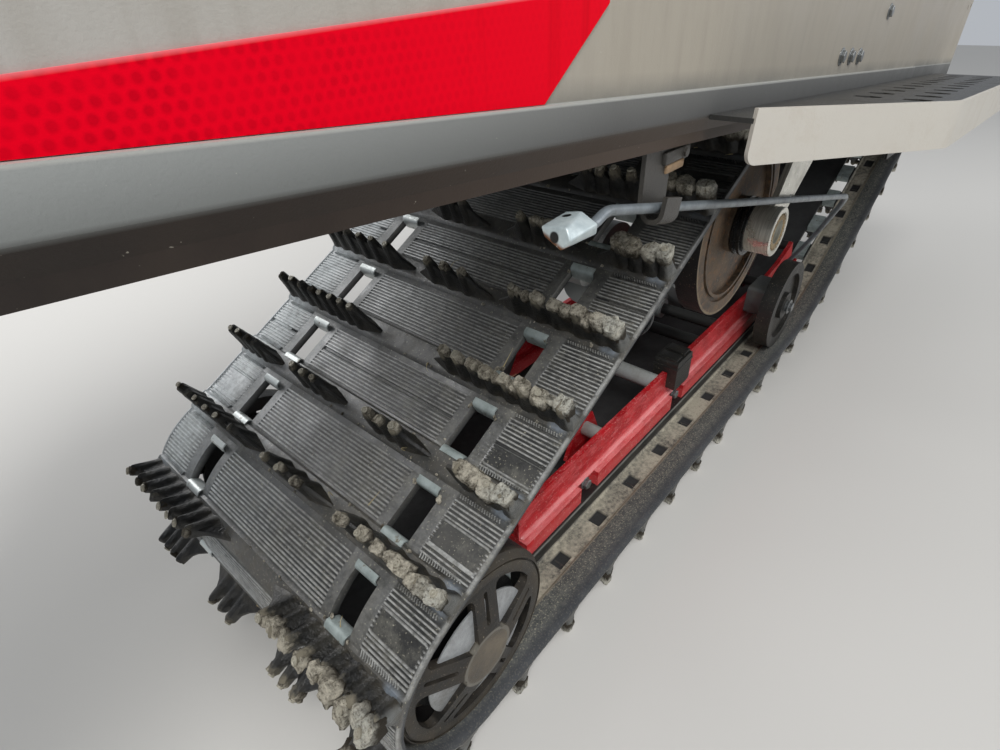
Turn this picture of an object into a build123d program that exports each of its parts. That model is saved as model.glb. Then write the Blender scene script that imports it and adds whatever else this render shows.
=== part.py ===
from build123d import *
import math
import os

os.makedirs("parts", exist_ok=True)

# Rear track unit of a snowmobile: the tunnel with its boards, and the track round its slide rails.
# Millimetres. X runs forward, Y to the left and Z up, with the lug tips on the ground at Z = 0.

# Clearances
seat_gap = 0.3
bore_gap = 0.3

# Track
pitch = 76.2
pitch_count = 43
track_width = 381.0
belt_thickness = 8.0
lug_height = 32.0
lug_base = 20.0
lug_tip = 9.0
lug_place = 0.71
window_from = 0.0
window_to = 0.54
seam_row = 21
window_width = 25.5
column_spacing = 225.5
clip_thickness = 3.0

# Places along the unit are measured forward from the rear axle
rear_reach = 478.0
front_reach = 1452.0
origin_x = -(front_reach - rear_reach) / 2
belt_floor = lug_height + belt_thickness

# Wheels and axles
rear_wheel_radius = 85.0
rear_wheel_width = 25.0
rear_wheel_face = track_width / 2 - 10.5
upper_axle_place = 448.0
upper_axle_height = 339.0
upper_wheel_radius = 102.0
upper_wheel_width = 24.0
upper_wheel_face = track_width / 2 - 20.5
drive_axle_height = 345.0
drive_radius = 93.0
wheel_axle_radius = 10.0
upper_shaft_radius = 12.0
drive_shaft_radius = 16.0

# Rails
rail_rear = 128.0
rail_bend_place = 805.0
rail_bend_radius = 400.0
rail_tip_angle = 24.0
rail_spacing = column_spacing
rail_web = 7.0
rail_height = 61.0
rail_foot_width = 28.0
rail_foot_height = 22.0
slide_height = 17.7
slide_width = 32.0

# Tunnel
tunnel_room = 12.5
tunnel_half = track_width / 2 + tunnel_room
tunnel_sheet = 3.0
tunnel_height = 190.0
tunnel_rear = -400.0
edge_height = 490.0
edge_fall = 0.0889
rim_band = 16.5
rim_bevel = 15.5
rim_proud = 4.0

sides = (("left", 1), ("right", -1))


def along(place):
    """X of a place that is measured forward from the rear axle."""
    return origin_x + place


def side_plane(y):
    """Upright plane facing right at this Y, so that an extrusion runs to the right."""
    return Plane.XZ.offset(-y)


def outer_y(sign, inner, outer):
    """The higher Y of a piece that lies between two distances from the centre."""
    return max(sign * inner, sign * outer)


def edge_z(place):
    """Height of the tunnel's lower edge."""
    return edge_height - edge_fall * place


# The belt is a loop round four rounds; each row is place, height of centre, radius
def rounds(drive_place):
    return [
        (0.0, belt_floor + rear_wheel_radius, rear_wheel_radius),
        (rail_bend_place, belt_floor + rail_bend_radius, rail_bend_radius),
        (drive_place, drive_axle_height, drive_radius),
        (upper_axle_place, upper_axle_height, upper_wheel_radius),
    ]


def run_angle(start, end):
    """Direction of the straight run between two rounds, in radians."""
    dx = end[0] - start[0]
    dz = end[1] - start[1]
    return math.atan2(dz, dx) - math.asin((end[2] - start[2]) / math.hypot(dx, dz))


def belt_pieces(drive_place, depth):
    """Arcs and runs of the loop at a depth outside the belt's inner face."""
    loop = rounds(drive_place)
    count = len(loop)
    angles = [run_angle(loop[i], loop[(i + 1) % count]) for i in range(count)]
    pieces = []
    for i in range(count):
        place, height, radius = loop[i]
        turn_from = angles[i - 1]
        turn = (angles[i] - turn_from) % (2 * math.pi)
        pieces.append((place, height, radius + depth, turn_from, turn, angles[i]))
    return pieces


def run_length(first, second):
    """Length of the straight run between two arcs."""
    dx = second[0] - first[0]
    dz = second[1] - first[1]
    return dx * math.cos(first[5]) + dz * math.sin(first[5])


def loop_length(drive_place):
    pieces = belt_pieces(drive_place, belt_thickness / 2)
    length = 0.0
    for i in range(len(pieces)):
        after = pieces[(i + 1) % len(pieces)]
        length += pieces[i][2] * pieces[i][4] + run_length(pieces[i], after)
    return length


# The drive axle stands where the loop holds a whole number of pitches
nearest = rail_bend_place
farthest = rail_bend_place + pitch * pitch_count / 2
for _ in range(50):
    drive_place = (nearest + farthest) / 2
    if loop_length(drive_place) < pitch * pitch_count:
        nearest = drive_place
    else:
        farthest = drive_place


def belt_point(travel, depth):
    """Point at a distance along the belt's middle line, moved out to a depth."""
    middle = belt_thickness / 2
    pieces = belt_pieces(drive_place, middle)
    travel = travel % (pitch * pitch_count)
    while True:
        for i in range(len(pieces)):
            place, height, radius, turn_from, turn, angle = pieces[i]
            if travel <= radius * turn:
                facing = turn_from + travel / radius - math.pi / 2
                reach = radius - middle + depth
                return along(place) + reach * math.cos(facing), height + reach * math.sin(facing)
            travel -= radius * turn
            run = run_length(pieces[i], pieces[(i + 1) % len(pieces)])
            if travel <= run:
                facing = angle - math.pi / 2
                reach = radius - middle + depth
                x = along(place) + reach * math.cos(facing) + travel * math.cos(angle)
                return x, height + reach * math.sin(facing) + travel * math.sin(angle)
            travel -= run


def arc_end(place, height, radius, facing):
    return along(place) + radius * math.cos(facing), height + radius * math.sin(facing)


def belt_outline(depth):
    """Closed line of the loop at a depth; used inside a line builder."""
    pieces = belt_pieces(drive_place, depth)
    for i in range(len(pieces)):
        place, height, radius, turn_from, turn, angle = pieces[i]
        start = arc_end(place, height, radius, turn_from - math.pi / 2)
        middle = arc_end(place, height, radius, turn_from + turn / 2 - math.pi / 2)
        end = arc_end(place, height, radius, angle - math.pi / 2)
        ThreePointArc(start, middle, end)
        after = pieces[(i + 1) % len(pieces)]
        Line(end, arc_end(after[0], after[1], after[2], angle - math.pi / 2))


# Lug rows repeat every three pitches from the seam on; each row lists its groups as nearer Y, farther Y
lug_edge = track_width / 2 - 0.5
lug_rows = [
    [(-28.0, 28.0), (74.0, lug_edge)],
    [(52.0, lug_edge)],
    [(29.0, 73.0), (130.0, lug_edge)],
]
lug_root = 1.0


def lug_outline(row):
    middle = (row + lug_place) * pitch
    root = belt_thickness - lug_root
    tip = belt_thickness + lug_height
    corners = [(-lug_base / 2, root), (-lug_tip / 2, tip), (lug_tip / 2, tip), (lug_base / 2, root)]
    return [belt_point(middle + offset, depth) for offset, depth in corners]


def window_outline(row):
    begin = (row + window_from) * pitch
    end = (row + window_to) * pitch
    beyond = belt_thickness * 2
    corners = [(begin, -beyond), (begin, beyond), (end, beyond), (end, -beyond)]
    return [belt_point(travel, depth) for travel, depth in corners]


with BuildPart() as track:
    with BuildSketch(side_plane(track_width / 2)):
        with BuildLine():
            belt_outline(belt_thickness)
        make_face()
        with BuildLine():
            belt_outline(0)
        make_face(mode=Mode.SUBTRACT)
    extrude(amount=track_width)
    for kind, groups in enumerate(lug_rows):
        for near, far in groups:
            for low, high in {(near, far), (-far, -near)}:
                with BuildSketch(side_plane(high)):
                    for row in range(seam_row + kind, seam_row + pitch_count, len(lug_rows)):
                        with BuildLine():
                            Polyline(lug_outline(row), close=True)
                        make_face()
                extrude(amount=high - low)
    for middle in (column_spacing / 2, -column_spacing / 2):
        with BuildSketch(side_plane(middle + window_width / 2)):
            for row in range(pitch_count):
                with BuildLine():
                    Polyline(window_outline(row), close=True)
                make_face()
        extrude(amount=window_width, mode=Mode.SUBTRACT)
track.part.label = "track"
export_step(track.part, "parts/track.step")

# Rails, slide shoes and what joins them
rail_foot = clip_thickness + slide_height + seat_gap
rail_notches = ((229.0, 264.0), (452.0, 486.0))
rail_y = rail_spacing / 2
web_face = rail_y - rail_web / 2
web_out = rail_y + rail_web / 2


def rail_band(begin, low, high, tip):
    """Closed line of a band between two heights over the belt, straight and then bent up at the front."""
    x = along(begin)
    bend = along(rail_bend_place)
    centre = belt_floor + rail_bend_radius

    def bent(height, angle):
        reach = rail_bend_radius - height
        turn = math.radians(angle)
        return bend + reach * math.sin(turn), centre - reach * math.cos(turn)

    Line((x, belt_floor + low), bent(low, 0))
    ThreePointArc(bent(low, 0), bent(low, tip / 2), bent(low, tip))
    Line(bent(low, tip), bent(high, tip))
    ThreePointArc(bent(high, tip), bent(high, tip / 2), bent(high, 0))
    Line(bent(high, 0), (x, belt_floor + high))
    Line((x, belt_floor + high), (x, belt_floor + low))


for side, sign in sides:
    with BuildPart() as rail:
        with BuildSketch(side_plane(sign * rail_y + rail_web / 2)):
            with BuildLine():
                rail_band(rail_rear, rail_foot, rail_foot + rail_height, rail_tip_angle)
            make_face()
        extrude(amount=rail_web)
        with BuildSketch(side_plane(sign * rail_y + rail_foot_width / 2)):
            with BuildLine():
                rail_band(rail_rear, rail_foot, rail_foot + rail_foot_height, rail_tip_angle)
            make_face()
        extrude(amount=rail_foot_width)
        foot_face = rail_y + rail_foot_width / 2
        with BuildSketch(side_plane(outer_y(sign, web_out, foot_face))):
            for begin, end in rail_notches:
                with Locations((along((begin + end) / 2), belt_floor + rail_foot + rail_foot_height / 2)):
                    Rectangle(end - begin, rail_foot_height)
        extrude(amount=foot_face - web_out, mode=Mode.SUBTRACT)
    rail.part.label = f"rail_{side}"
    export_step(rail.part, f"parts/rail_{side}.step")

for side, sign in sides:
    with BuildPart() as slide:
        with BuildSketch(side_plane(sign * rail_y + slide_width / 2)):
            with BuildLine():
                rail_band(rail_rear, clip_thickness, clip_thickness + slide_height, rail_tip_angle)
            make_face()
        extrude(amount=slide_width)
    slide.part.label = f"slide_{side}"
    export_step(slide.part, f"parts/slide_{side}.step")

# Cross shafts between the rails; each row is place, height, radius
rail_shafts = {
    "arm_foot": (300.0, 105.0, 9.0),
    "middle": (430.0, 112.0, 11.0),
    "rear_shock": (575.0, 104.0, 9.0),
    "front_shock": (640.0, 104.0, 9.0),
    "front_arm": (820.0, 108.0, 9.0),
    "strap": (950.0, 135.0, 9.0),
}
with BuildPart() as cross_shafts:
    for place, height, radius in rail_shafts.values():
        with BuildSketch(side_plane(web_face)):
            with Locations((along(place), height)):
                Circle(radius)
        extrude(amount=2 * web_face)
cross_shafts.part.label = "cross_shafts"
export_step(cross_shafts.part, "parts/cross_shafts.step")

# Red plates on the shaft at the rear arm's foot
plate_inner = 77.5
plate_thickness = 5.0
plate_rear = 38.0
plate_front = 30.0
plate_low = 30.0
plate_top = 16.0
with BuildPart() as shaft_plates:
    place, height, radius = rail_shafts["arm_foot"]
    for side, sign in sides:
        with BuildSketch(side_plane(outer_y(sign, plate_inner, plate_inner + plate_thickness))):
            with BuildLine():
                Polyline(
                    (along(place - plate_rear), height - plate_low),
                    (along(place + plate_front / 2), height - plate_low),
                    (along(place + plate_front), height - plate_low / 2),
                    (along(place + plate_top), height + plate_top),
                    (along(place - plate_top), height + plate_top),
                    close=True,
                )
            make_face()
            with Locations((along(place), height)):
                Circle(radius + bore_gap, mode=Mode.SUBTRACT)
        extrude(amount=plate_thickness)
shaft_plates.part.label = "shaft_plates"
export_step(shaft_plates.part, "parts/shaft_plates.step")

# Plates that carry the rear axle behind the rails
carrier_thickness = 7.0
carrier_front = 205.0
carrier_height = 44.0
rear_axle_height = belt_floor + rear_wheel_radius
carrier_y = web_face - carrier_thickness
with BuildPart() as axle_carriers:
    for side, sign in sides:
        with BuildSketch(side_plane(outer_y(sign, carrier_y, web_face))):
            with BuildLine():
                Polyline(
                    (along(0), rear_axle_height + carrier_height / 2),
                    (along(carrier_front), belt_floor + rail_foot + rail_height - seat_gap),
                    (along(carrier_front), belt_floor + rail_foot + rail_foot_height + seat_gap),
                    (along(0), rear_axle_height - carrier_height / 2),
                    close=True,
                )
            make_face()
            with Locations((along(0), rear_axle_height)):
                Circle(carrier_height / 2)
                Circle(wheel_axle_radius + bore_gap, mode=Mode.SUBTRACT)
        extrude(amount=carrier_thickness)
axle_carriers.part.label = "axle_carriers"
export_step(axle_carriers.part, "parts/axle_carriers.step")

# Rear axle, closed in at its ends by the wheels' caps
with BuildPart() as rear_axle:
    with BuildSketch(side_plane(rear_wheel_face)):
        with Locations((along(0), rear_axle_height)):
            Circle(wheel_axle_radius)
    extrude(amount=2 * rear_wheel_face)
rear_axle.part.label = "rear_axle"
export_step(rear_axle.part, "parts/rear_axle.step")

# Rear wheels: a bevelled rim, a dished web with five windows between slotted spokes, and a closed cap
rim_depth = 15.0
tread_bevel_depth = 6.0
tread_bevel_height = 4.0
ring_radius = 78.0
ring_width = 2.0
ring_depth = 2.5
cap_radius = 26.0
cap_reach = 10.0
web_thickness = 7.0
web_dish = 6.0
disc_radius = 58.0
disc_depth = 15.0
disc_thickness = 2.5
spoke_count = 5
spoke_half = 12.0
spoke_turn = 64.0
spoke_slot_width = 4.0
spoke_slot_from = 34.0
spoke_slot_to = 64.0
wheel_window_radius = 68.0
wheel_window_corner = 6.0
for side, sign in sides:
    with BuildPart() as rear_wheel:
        # The half section is drawn in distances from the axle and depths behind the wheel's outer face
        with BuildSketch(Plane.XY.offset(rear_axle_height)):
            with BuildLine():
                tread = rear_wheel_radius - seat_gap
                inner = tread - rim_depth
                bore = wheel_axle_radius + bore_gap
                section = [
                    (0, -cap_reach),
                    (cap_radius, -cap_reach),
                    (inner, 0),
                    (ring_radius, 0),
                    (ring_radius, ring_depth),
                    (ring_radius + ring_width, ring_depth),
                    (ring_radius + ring_width, 0),
                    (tread - tread_bevel_height, 0),
                    (tread, tread_bevel_depth),
                    (tread, rear_wheel_width),
                    (inner, rear_wheel_width),
                    (inner, web_thickness),
                    (cap_radius, web_thickness - web_dish),
                    (cap_radius, disc_depth - disc_thickness),
                    (disc_radius, disc_depth - disc_thickness),
                    (disc_radius, disc_depth),
                    (cap_radius, disc_depth),
                    (cap_radius, rear_wheel_width),
                    (bore, rear_wheel_width),
                    (bore, bore_gap),
                    (0, bore_gap),
                ]
                corners = [(along(reach), sign * (rear_wheel_face - depth)) for reach, depth in section]
                Polyline(corners, close=True)
            make_face()
        revolve(axis=Axis((along(0), 0, rear_axle_height), (0, 1, 0)))
        cut_from = rear_wheel_face - disc_depth + disc_thickness + bore_gap
        cut_to = rear_wheel_face + cap_reach
        with BuildSketch(side_plane(outer_y(sign, cut_from, cut_to))):
            with Locations((along(0), rear_axle_height)):
                with PolarLocations(0, spoke_count, start_angle=spoke_turn):
                    with BuildSketch(mode=Mode.PRIVATE) as window:
                        half_angle = math.pi / spoke_count
                        apex = spoke_half / math.sin(half_angle)
                        wide = wheel_window_radius * math.tan(half_angle)
                        with BuildLine():
                            Polyline(
                                (apex, 0),
                                (apex + wheel_window_radius, wide),
                                (apex + wheel_window_radius, -wide),
                                close=True,
                            )
                        make_face()
                        Circle(wheel_window_radius, mode=Mode.INTERSECT)
                        fillet(window.vertices(), wheel_window_corner)
                    add(window.sketch.rotate(Axis.Z, math.degrees(half_angle)))
                    with Locations(((spoke_slot_from + spoke_slot_to) / 2, 0)):
                        SlotOverall(spoke_slot_to - spoke_slot_from, spoke_slot_width)
        extrude(amount=cut_to - cut_from, mode=Mode.SUBTRACT)
    rear_wheel.part.label = f"rear_wheel_{side}"
    export_step(rear_wheel.part, f"parts/rear_wheel_{side}.step")

# Upper wheels: closed discs with a ring groove near the rim
upper_hub_radius = 30.0
groove_radius = 84.0
groove_width = 5.0
groove_depth = 3.0
dish_radius = 78.0
dish_depth = 6.0
for side, sign in sides:
    with BuildPart() as upper_wheel:
        with BuildSketch(Plane.XY.offset(upper_axle_height)):
            with Locations((along(upper_axle_place), sign * (upper_wheel_face - upper_wheel_width / 2))):
                with Locations(((upper_wheel_radius - seat_gap) / 2, 0)):
                    Rectangle(upper_wheel_radius - seat_gap, upper_wheel_width)
                with Locations(((upper_shaft_radius + bore_gap) / 2, 0)):
                    Rectangle(upper_shaft_radius + bore_gap, upper_wheel_width, mode=Mode.SUBTRACT)
                with Locations((groove_radius, sign * (upper_wheel_width - groove_depth) / 2)):
                    Rectangle(groove_width, groove_depth, mode=Mode.SUBTRACT)
                middle = (dish_radius + upper_hub_radius) / 2
                with Locations((middle, sign * (upper_wheel_width - dish_depth) / 2)):
                    Rectangle(dish_radius - upper_hub_radius, dish_depth, mode=Mode.SUBTRACT)
        revolve(axis=Axis((along(upper_axle_place), 0, upper_axle_height), (0, 1, 0)))
    upper_wheel.part.label = f"upper_wheel_{side}"
    export_step(upper_wheel.part, f"parts/upper_wheel_{side}.step")

# Upper shaft, its ribbed boots and the brackets that hold it under the tunnel
boot_radius = 27.0
boot_ridge = 4.0
bracket_inner = 20.0
bracket_outer = 6.0
bracket_hub_radius = 25.0
bracket_plate = 6.0
bracket_reach = 200.0
bracket_top_rear = 90.0
bracket_top = 50.0
bracket_lap = 10.0
bracket_low_reach = 160.0
shaft_inset = 6.0
boot_end = tunnel_half - bracket_inner
bracket_end = tunnel_half + bracket_outer
with BuildPart() as upper_shaft:
    with BuildSketch(side_plane(bracket_end - shaft_inset)):
        with Locations((along(upper_axle_place), upper_axle_height)):
            Circle(upper_shaft_radius)
    extrude(amount=2 * (bracket_end - shaft_inset))
upper_shaft.part.label = "upper_shaft"
export_step(upper_shaft.part, "parts/upper_shaft.step")

for side, sign in sides:
    length = boot_end - upper_wheel_face
    with BuildPart() as boot:
        with BuildSketch(Plane.XY.offset(upper_axle_height)):
            with Locations((along(upper_axle_place), sign * (upper_wheel_face + length / 2))):
                bore = upper_shaft_radius + bore_gap
                with Locations(((boot_radius + bore) / 2, 0)):
                    Rectangle(boot_radius - bore, length)
                for shift in (-length / 4, length / 4):
                    with Locations((boot_radius + boot_ridge / 2, shift)):
                        Rectangle(boot_ridge, length / 5)
        revolve(axis=Axis((along(upper_axle_place), 0, upper_axle_height), (0, 1, 0)))
    boot.part.label = f"shaft_boot_{side}"
    export_step(boot.part, f"parts/shaft_boot_{side}.step")

bracket_face = tunnel_half - tunnel_sheet - seat_gap
top_rear = upper_axle_place + bracket_top_rear
top_front = upper_axle_place + bracket_reach
low_front = upper_axle_place + bracket_low_reach
for side, sign in sides:
    with BuildPart() as bracket:
        with BuildSketch(side_plane(outer_y(sign, boot_end + seat_gap, bracket_end))):
            with Locations((along(upper_axle_place), upper_axle_height)):
                Circle(bracket_hub_radius)
        extrude(amount=bracket_end - boot_end - seat_gap)
        with BuildSketch(side_plane(outer_y(sign, bracket_face - bracket_plate, bracket_face))):
            with BuildLine():
                Polyline(
                    (along(upper_axle_place), upper_axle_height + bracket_hub_radius - seat_gap),
                    (along(top_rear), edge_z(top_rear) + bracket_top),
                    (along(top_front), edge_z(top_front) + bracket_top),
                    (along(low_front), edge_z(low_front) - bracket_lap),
                    (along(upper_axle_place), upper_axle_height - bracket_hub_radius + seat_gap),
                    close=True,
                )
            make_face()
        extrude(amount=bracket_plate)
        with BuildSketch(side_plane(outer_y(sign, boot_end, bracket_end))):
            with Locations((along(upper_axle_place), upper_axle_height)):
                Circle(upper_shaft_radius + bore_gap)
        extrude(amount=bracket_end - boot_end, mode=Mode.SUBTRACT)
    bracket.part.label = f"drop_bracket_{side}"
    export_step(bracket.part, f"parts/drop_bracket_{side}.step")

# Suspension arms: two tubes between an upper and a lower sleeve
sleeve_wall = 5.0
arm_tube_radius = 11.0


def arm_tube(y, start, end, radius):
    """Round tube in the part being built, between two centres at one Y."""
    dx = end[0] - start[0]
    dz = end[1] - start[1]
    plane = Plane(origin=(along(start[0]), y, start[1]), x_dir=(0, 1, 0), z_dir=(dx, 0, dz))
    with BuildSketch(plane) as section:
        Circle(radius)
    extrude(section.sketch, amount=math.hypot(dx, dz))


brace_share = 0.34


def brace_centre(top, foot):
    """Centre of the tube that joins an arm's two long tubes."""
    return top[0] + brace_share * (foot[0] - top[0]), top[1] + brace_share * (foot[1] - top[1])


# Each row is name, upper centre, upper shaft radius, lower shaft's row, half width
front_shaft_place = 1040.0
front_shaft_height = 345.0
front_shaft = (front_shaft_place, front_shaft_height)
front_shaft_proud = 4.0
arms = (
    ("rear_arm", (upper_axle_place, upper_axle_height), upper_shaft_radius, rail_shafts["arm_foot"], 62.0),
    ("front_arm", front_shaft, upper_shaft_radius, rail_shafts["front_arm"], 70.0),
)
for name, top, top_radius, foot, half in arms:
    with BuildPart() as arm:
        for offset in (half, -half):
            arm_tube(offset, top, foot, arm_tube_radius)
        for centre, radius in ((top, top_radius), (foot, foot[2])):
            with BuildSketch(side_plane(half + arm_tube_radius)):
                with Locations((along(centre[0]), centre[1])):
                    Circle(radius + bore_gap + sleeve_wall)
            extrude(amount=2 * (half + arm_tube_radius))
        for centre, radius in ((top, top_radius), (foot, foot[2])):
            with BuildSketch(side_plane(half + 2 * arm_tube_radius)):
                with Locations((along(centre[0]), centre[1])):
                    Circle(radius + bore_gap)
            extrude(amount=2 * half + 4 * arm_tube_radius, mode=Mode.SUBTRACT)
        brace = brace_centre(top, foot)
        with BuildSketch(side_plane(half)):
            with Locations((along(brace[0]), brace[1])):
                Circle(arm_tube_radius)
        extrude(amount=2 * half)
    arm.part.label = name
    export_step(arm.part, f"parts/{name}.step")

# Front arm shaft, held in the tunnel's sides
with BuildPart() as front_arm_shaft:
    with BuildSketch(side_plane(tunnel_half + front_shaft_proud)):
        with Locations((along(front_shaft_place), front_shaft_height)):
            Circle(upper_shaft_radius)
    extrude(amount=2 * (tunnel_half + front_shaft_proud))
front_arm_shaft.part.label = "front_arm_shaft"
export_step(front_arm_shaft.part, "parts/front_arm_shaft.step")

# Shock absorbers; each row is name, lower shaft's row, upper centre, body radius, spring radius
shock_rows = (
    ("rear_shock", rail_shafts["rear_shock"], brace_centre(arms[0][1], arms[0][3]), 20.0, 31.0),
    ("front_shock", rail_shafts["front_shock"], brace_centre(arms[1][1], arms[1][3]), 20.0, 31.0),
)
eye_wall = 7.0
eye_width = 26.0
spring_wire = 4.5
spring_seat = 5.0
spring_seat_inset = 10.0
shock_rod_radius = 8.0
shock_body_share = 0.62
for name, foot, top, body_radius, spring_radius in shock_rows:
    dx = top[0] - foot[0]
    dz = top[1] - foot[1]
    span = math.hypot(dx, dz)
    with BuildPart() as shock:
        for centre, radius in ((foot, foot[2]), (top, arm_tube_radius)):
            with BuildSketch(side_plane(eye_width / 2)):
                with Locations((along(centre[0]), centre[1])):
                    Circle(radius + bore_gap + eye_wall)
            extrude(amount=eye_width)
        axis_plane = Plane(origin=(along(foot[0]), 0, foot[1]), x_dir=(0, 1, 0), z_dir=(dx, 0, dz))
        low = foot[2] + eye_wall
        high = span - arm_tube_radius - eye_wall
        with BuildSketch(axis_plane.offset(low)):
            Circle(shock_rod_radius)
        extrude(amount=high - low)
        for begin in (low + spring_seat_inset, high - spring_seat_inset - spring_seat):
            with BuildSketch(axis_plane.offset(begin)):
                Circle(spring_radius + spring_wire)
            extrude(amount=spring_seat)
        with BuildSketch(axis_plane.offset(low + spring_seat_inset)):
            Circle(body_radius)
        extrude(amount=(high - low) * shock_body_share)
        for centre, radius in ((foot, foot[2]), (top, arm_tube_radius)):
            with BuildSketch(side_plane(eye_width / 2)):
                with Locations((along(centre[0]), centre[1])):
                    Circle(radius + bore_gap)
            extrude(amount=eye_width, mode=Mode.SUBTRACT)
    shock.part.label = name
    export_step(shock.part, f"parts/{name}.step")

# Limiter strap between the front arm's shaft and its own cross shaft
strap_width = 38.0
strap_thickness = 3.0
strap_foot = rail_shafts["strap"]
strap_dx = strap_foot[0] - front_shaft_place
strap_dz = strap_foot[1] - front_shaft_height
strap_span = math.hypot(strap_dx, strap_dz)
strap_inner = upper_shaft_radius + sleeve_wall + bore_gap + seat_gap
with BuildPart() as limiter_strap:
    strap_plane = Plane(
        origin=(along(front_shaft_place), 0, front_shaft_height),
        x_dir=(0, 1, 0),
        z_dir=(strap_dx, 0, strap_dz),
    )
    with BuildSketch(strap_plane):
        Rectangle(strap_width, strap_thickness)
    extrude(amount=strap_span)
    for centre, radius in ((front_shaft, strap_inner), (strap_foot, strap_foot[2])):
        with BuildSketch(side_plane(strap_width / 2)):
            with Locations((along(centre[0]), centre[1])):
                Circle(radius + bore_gap + strap_thickness)
        extrude(amount=strap_width)
    for centre, radius in ((front_shaft, strap_inner), (strap_foot, strap_foot[2])):
        with BuildSketch(side_plane(strap_width / 2)):
            with Locations((along(centre[0]), centre[1])):
                Circle(radius + bore_gap)
        extrude(amount=strap_width, mode=Mode.SUBTRACT)
limiter_strap.part.label = "limiter_strap"
export_step(limiter_strap.part, "parts/limiter_strap.step")

# Side wheels outside the rails, on blocks bolted to the webs
side_wheel_place = 752.0
side_wheel_radius = 72.0
side_wheel_width = 22.0
side_wheel_face = 172.0
side_dish_radius = 38.0
side_dish_width = 32.0
side_dish_depth = 7.0
side_stub_end = 5.0
side_wheel_height = belt_floor + side_wheel_radius
side_block_length = 62.0
side_block_low = 96.0
side_block_height = 46.0
side_block_corner = 6.0
side_stub_radius = 9.0
with BuildPart() as side_wheels:
    for side, sign in sides:
        with BuildSketch(Plane.XY.offset(side_wheel_height)):
            with Locations((along(side_wheel_place), sign * (side_wheel_face - side_wheel_width / 2))):
                with Locations(((side_wheel_radius - seat_gap) / 2, 0)):
                    Rectangle(side_wheel_radius - seat_gap, side_wheel_width)
                with Locations(((side_stub_radius + bore_gap) / 2, 0)):
                    Rectangle(side_stub_radius + bore_gap, side_wheel_width, mode=Mode.SUBTRACT)
                for face in (1, -1):
                    with Locations((side_dish_radius, face * (side_wheel_width - side_dish_depth) / 2)):
                        Rectangle(side_dish_width, side_dish_depth, mode=Mode.SUBTRACT)
        revolve(axis=Axis((along(side_wheel_place), 0, side_wheel_height), (0, 1, 0)))
side_wheels.part.label = "side_wheels"
export_step(side_wheels.part, "parts/side_wheels.step")

with BuildPart() as side_blocks:
    for side, sign in sides:
        block_out = side_wheel_face - side_wheel_width - seat_gap
        with BuildSketch(side_plane(outer_y(sign, web_out, block_out))):
            with Locations((along(side_wheel_place), side_block_low + side_block_height / 2)):
                RectangleRounded(side_block_length, side_block_height, side_block_corner)
        extrude(amount=block_out - web_out)
        stub_end = side_wheel_face + side_stub_end
        with BuildSketch(side_plane(outer_y(sign, web_out, stub_end))):
            with Locations((along(side_wheel_place), side_wheel_height)):
                Circle(side_stub_radius)
        extrude(amount=stub_end - web_out)
side_blocks.part.label = "side_blocks"
export_step(side_blocks.part, "parts/side_blocks.step")

# Rest blocks that saddle the rails above the middle shaft
rest_place = 468.0
rest_length = 44.0
rest_width = 34.0
rest_top = 142.0
rest_low = 96.0
rest_corner = 5.0
with BuildPart() as rest_blocks:
    for side, sign in sides:
        with BuildSketch(side_plane(sign * rail_y + rest_width / 2)):
            with Locations((along(rest_place), (rest_top + rest_low) / 2)):
                RectangleRounded(rest_length, rest_top - rest_low, rest_corner)
        extrude(amount=rest_width)
        rail_top = belt_floor + rail_foot + rail_height + bore_gap
        with BuildSketch(side_plane(sign * rail_y + rail_web / 2 + bore_gap)):
            with Locations((along(rest_place), (rail_top + rest_low) / 2)):
                Rectangle(rest_length, rail_top - rest_low)
        extrude(amount=rail_web + 2 * bore_gap, mode=Mode.SUBTRACT)
rest_blocks.part.label = "rest_blocks"
export_step(rest_blocks.part, "parts/rest_blocks.step")

# Drive axle with its wheels and the bearings in the tunnel's sides
drive_end_left = 268.0
drive_stub_radius = 14.0
drive_stub_length = 40.0
drive_end_right = 222.0
bearing_radius = 34.0
bearing_depth = 14.0
sprocket_width = 36.0
sprocket_hole_count = 8
sprocket_hole_radius = 14.0
sprocket_hole_reach = 60.0
drive_wheel_y = 58.0
with BuildPart() as drive_axle:
    with BuildSketch(side_plane(drive_end_left - drive_stub_length)):
        with Locations((along(drive_place), drive_axle_height)):
            Circle(drive_shaft_radius)
    extrude(amount=drive_end_left - drive_stub_length + drive_end_right)
    with BuildSketch(side_plane(drive_end_left)):
        with Locations((along(drive_place), drive_axle_height)):
            Circle(drive_stub_radius)
    extrude(amount=drive_stub_length)
drive_axle.part.label = "drive_axle"
export_step(drive_axle.part, "parts/drive_axle.step")

with BuildPart() as drive_wheels:
    for sign in (1, -1):
        with BuildSketch(side_plane(sign * drive_wheel_y + sprocket_width / 2)):
            with Locations((along(drive_place), drive_axle_height)):
                Circle(drive_radius - seat_gap)
                half_step = 180 / sprocket_hole_count
                with PolarLocations(sprocket_hole_reach, sprocket_hole_count, start_angle=half_step):
                    Circle(sprocket_hole_radius, mode=Mode.SUBTRACT)
                Circle(drive_shaft_radius + bore_gap, mode=Mode.SUBTRACT)
        extrude(amount=sprocket_width)
drive_wheels.part.label = "drive_wheels"
export_step(drive_wheels.part, "parts/drive_wheels.step")

with BuildPart() as drive_bearings:
    for side, sign in sides:
        with BuildSketch(side_plane(outer_y(sign, tunnel_half, tunnel_half + bearing_depth))):
            with Locations((along(drive_place), drive_axle_height)):
                Circle(bearing_radius)
                Circle(drive_shaft_radius + bore_gap, mode=Mode.SUBTRACT)
        extrude(amount=bearing_depth)
drive_bearings.part.label = "drive_bearings"
export_step(drive_bearings.part, "parts/drive_bearings.step")

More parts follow.
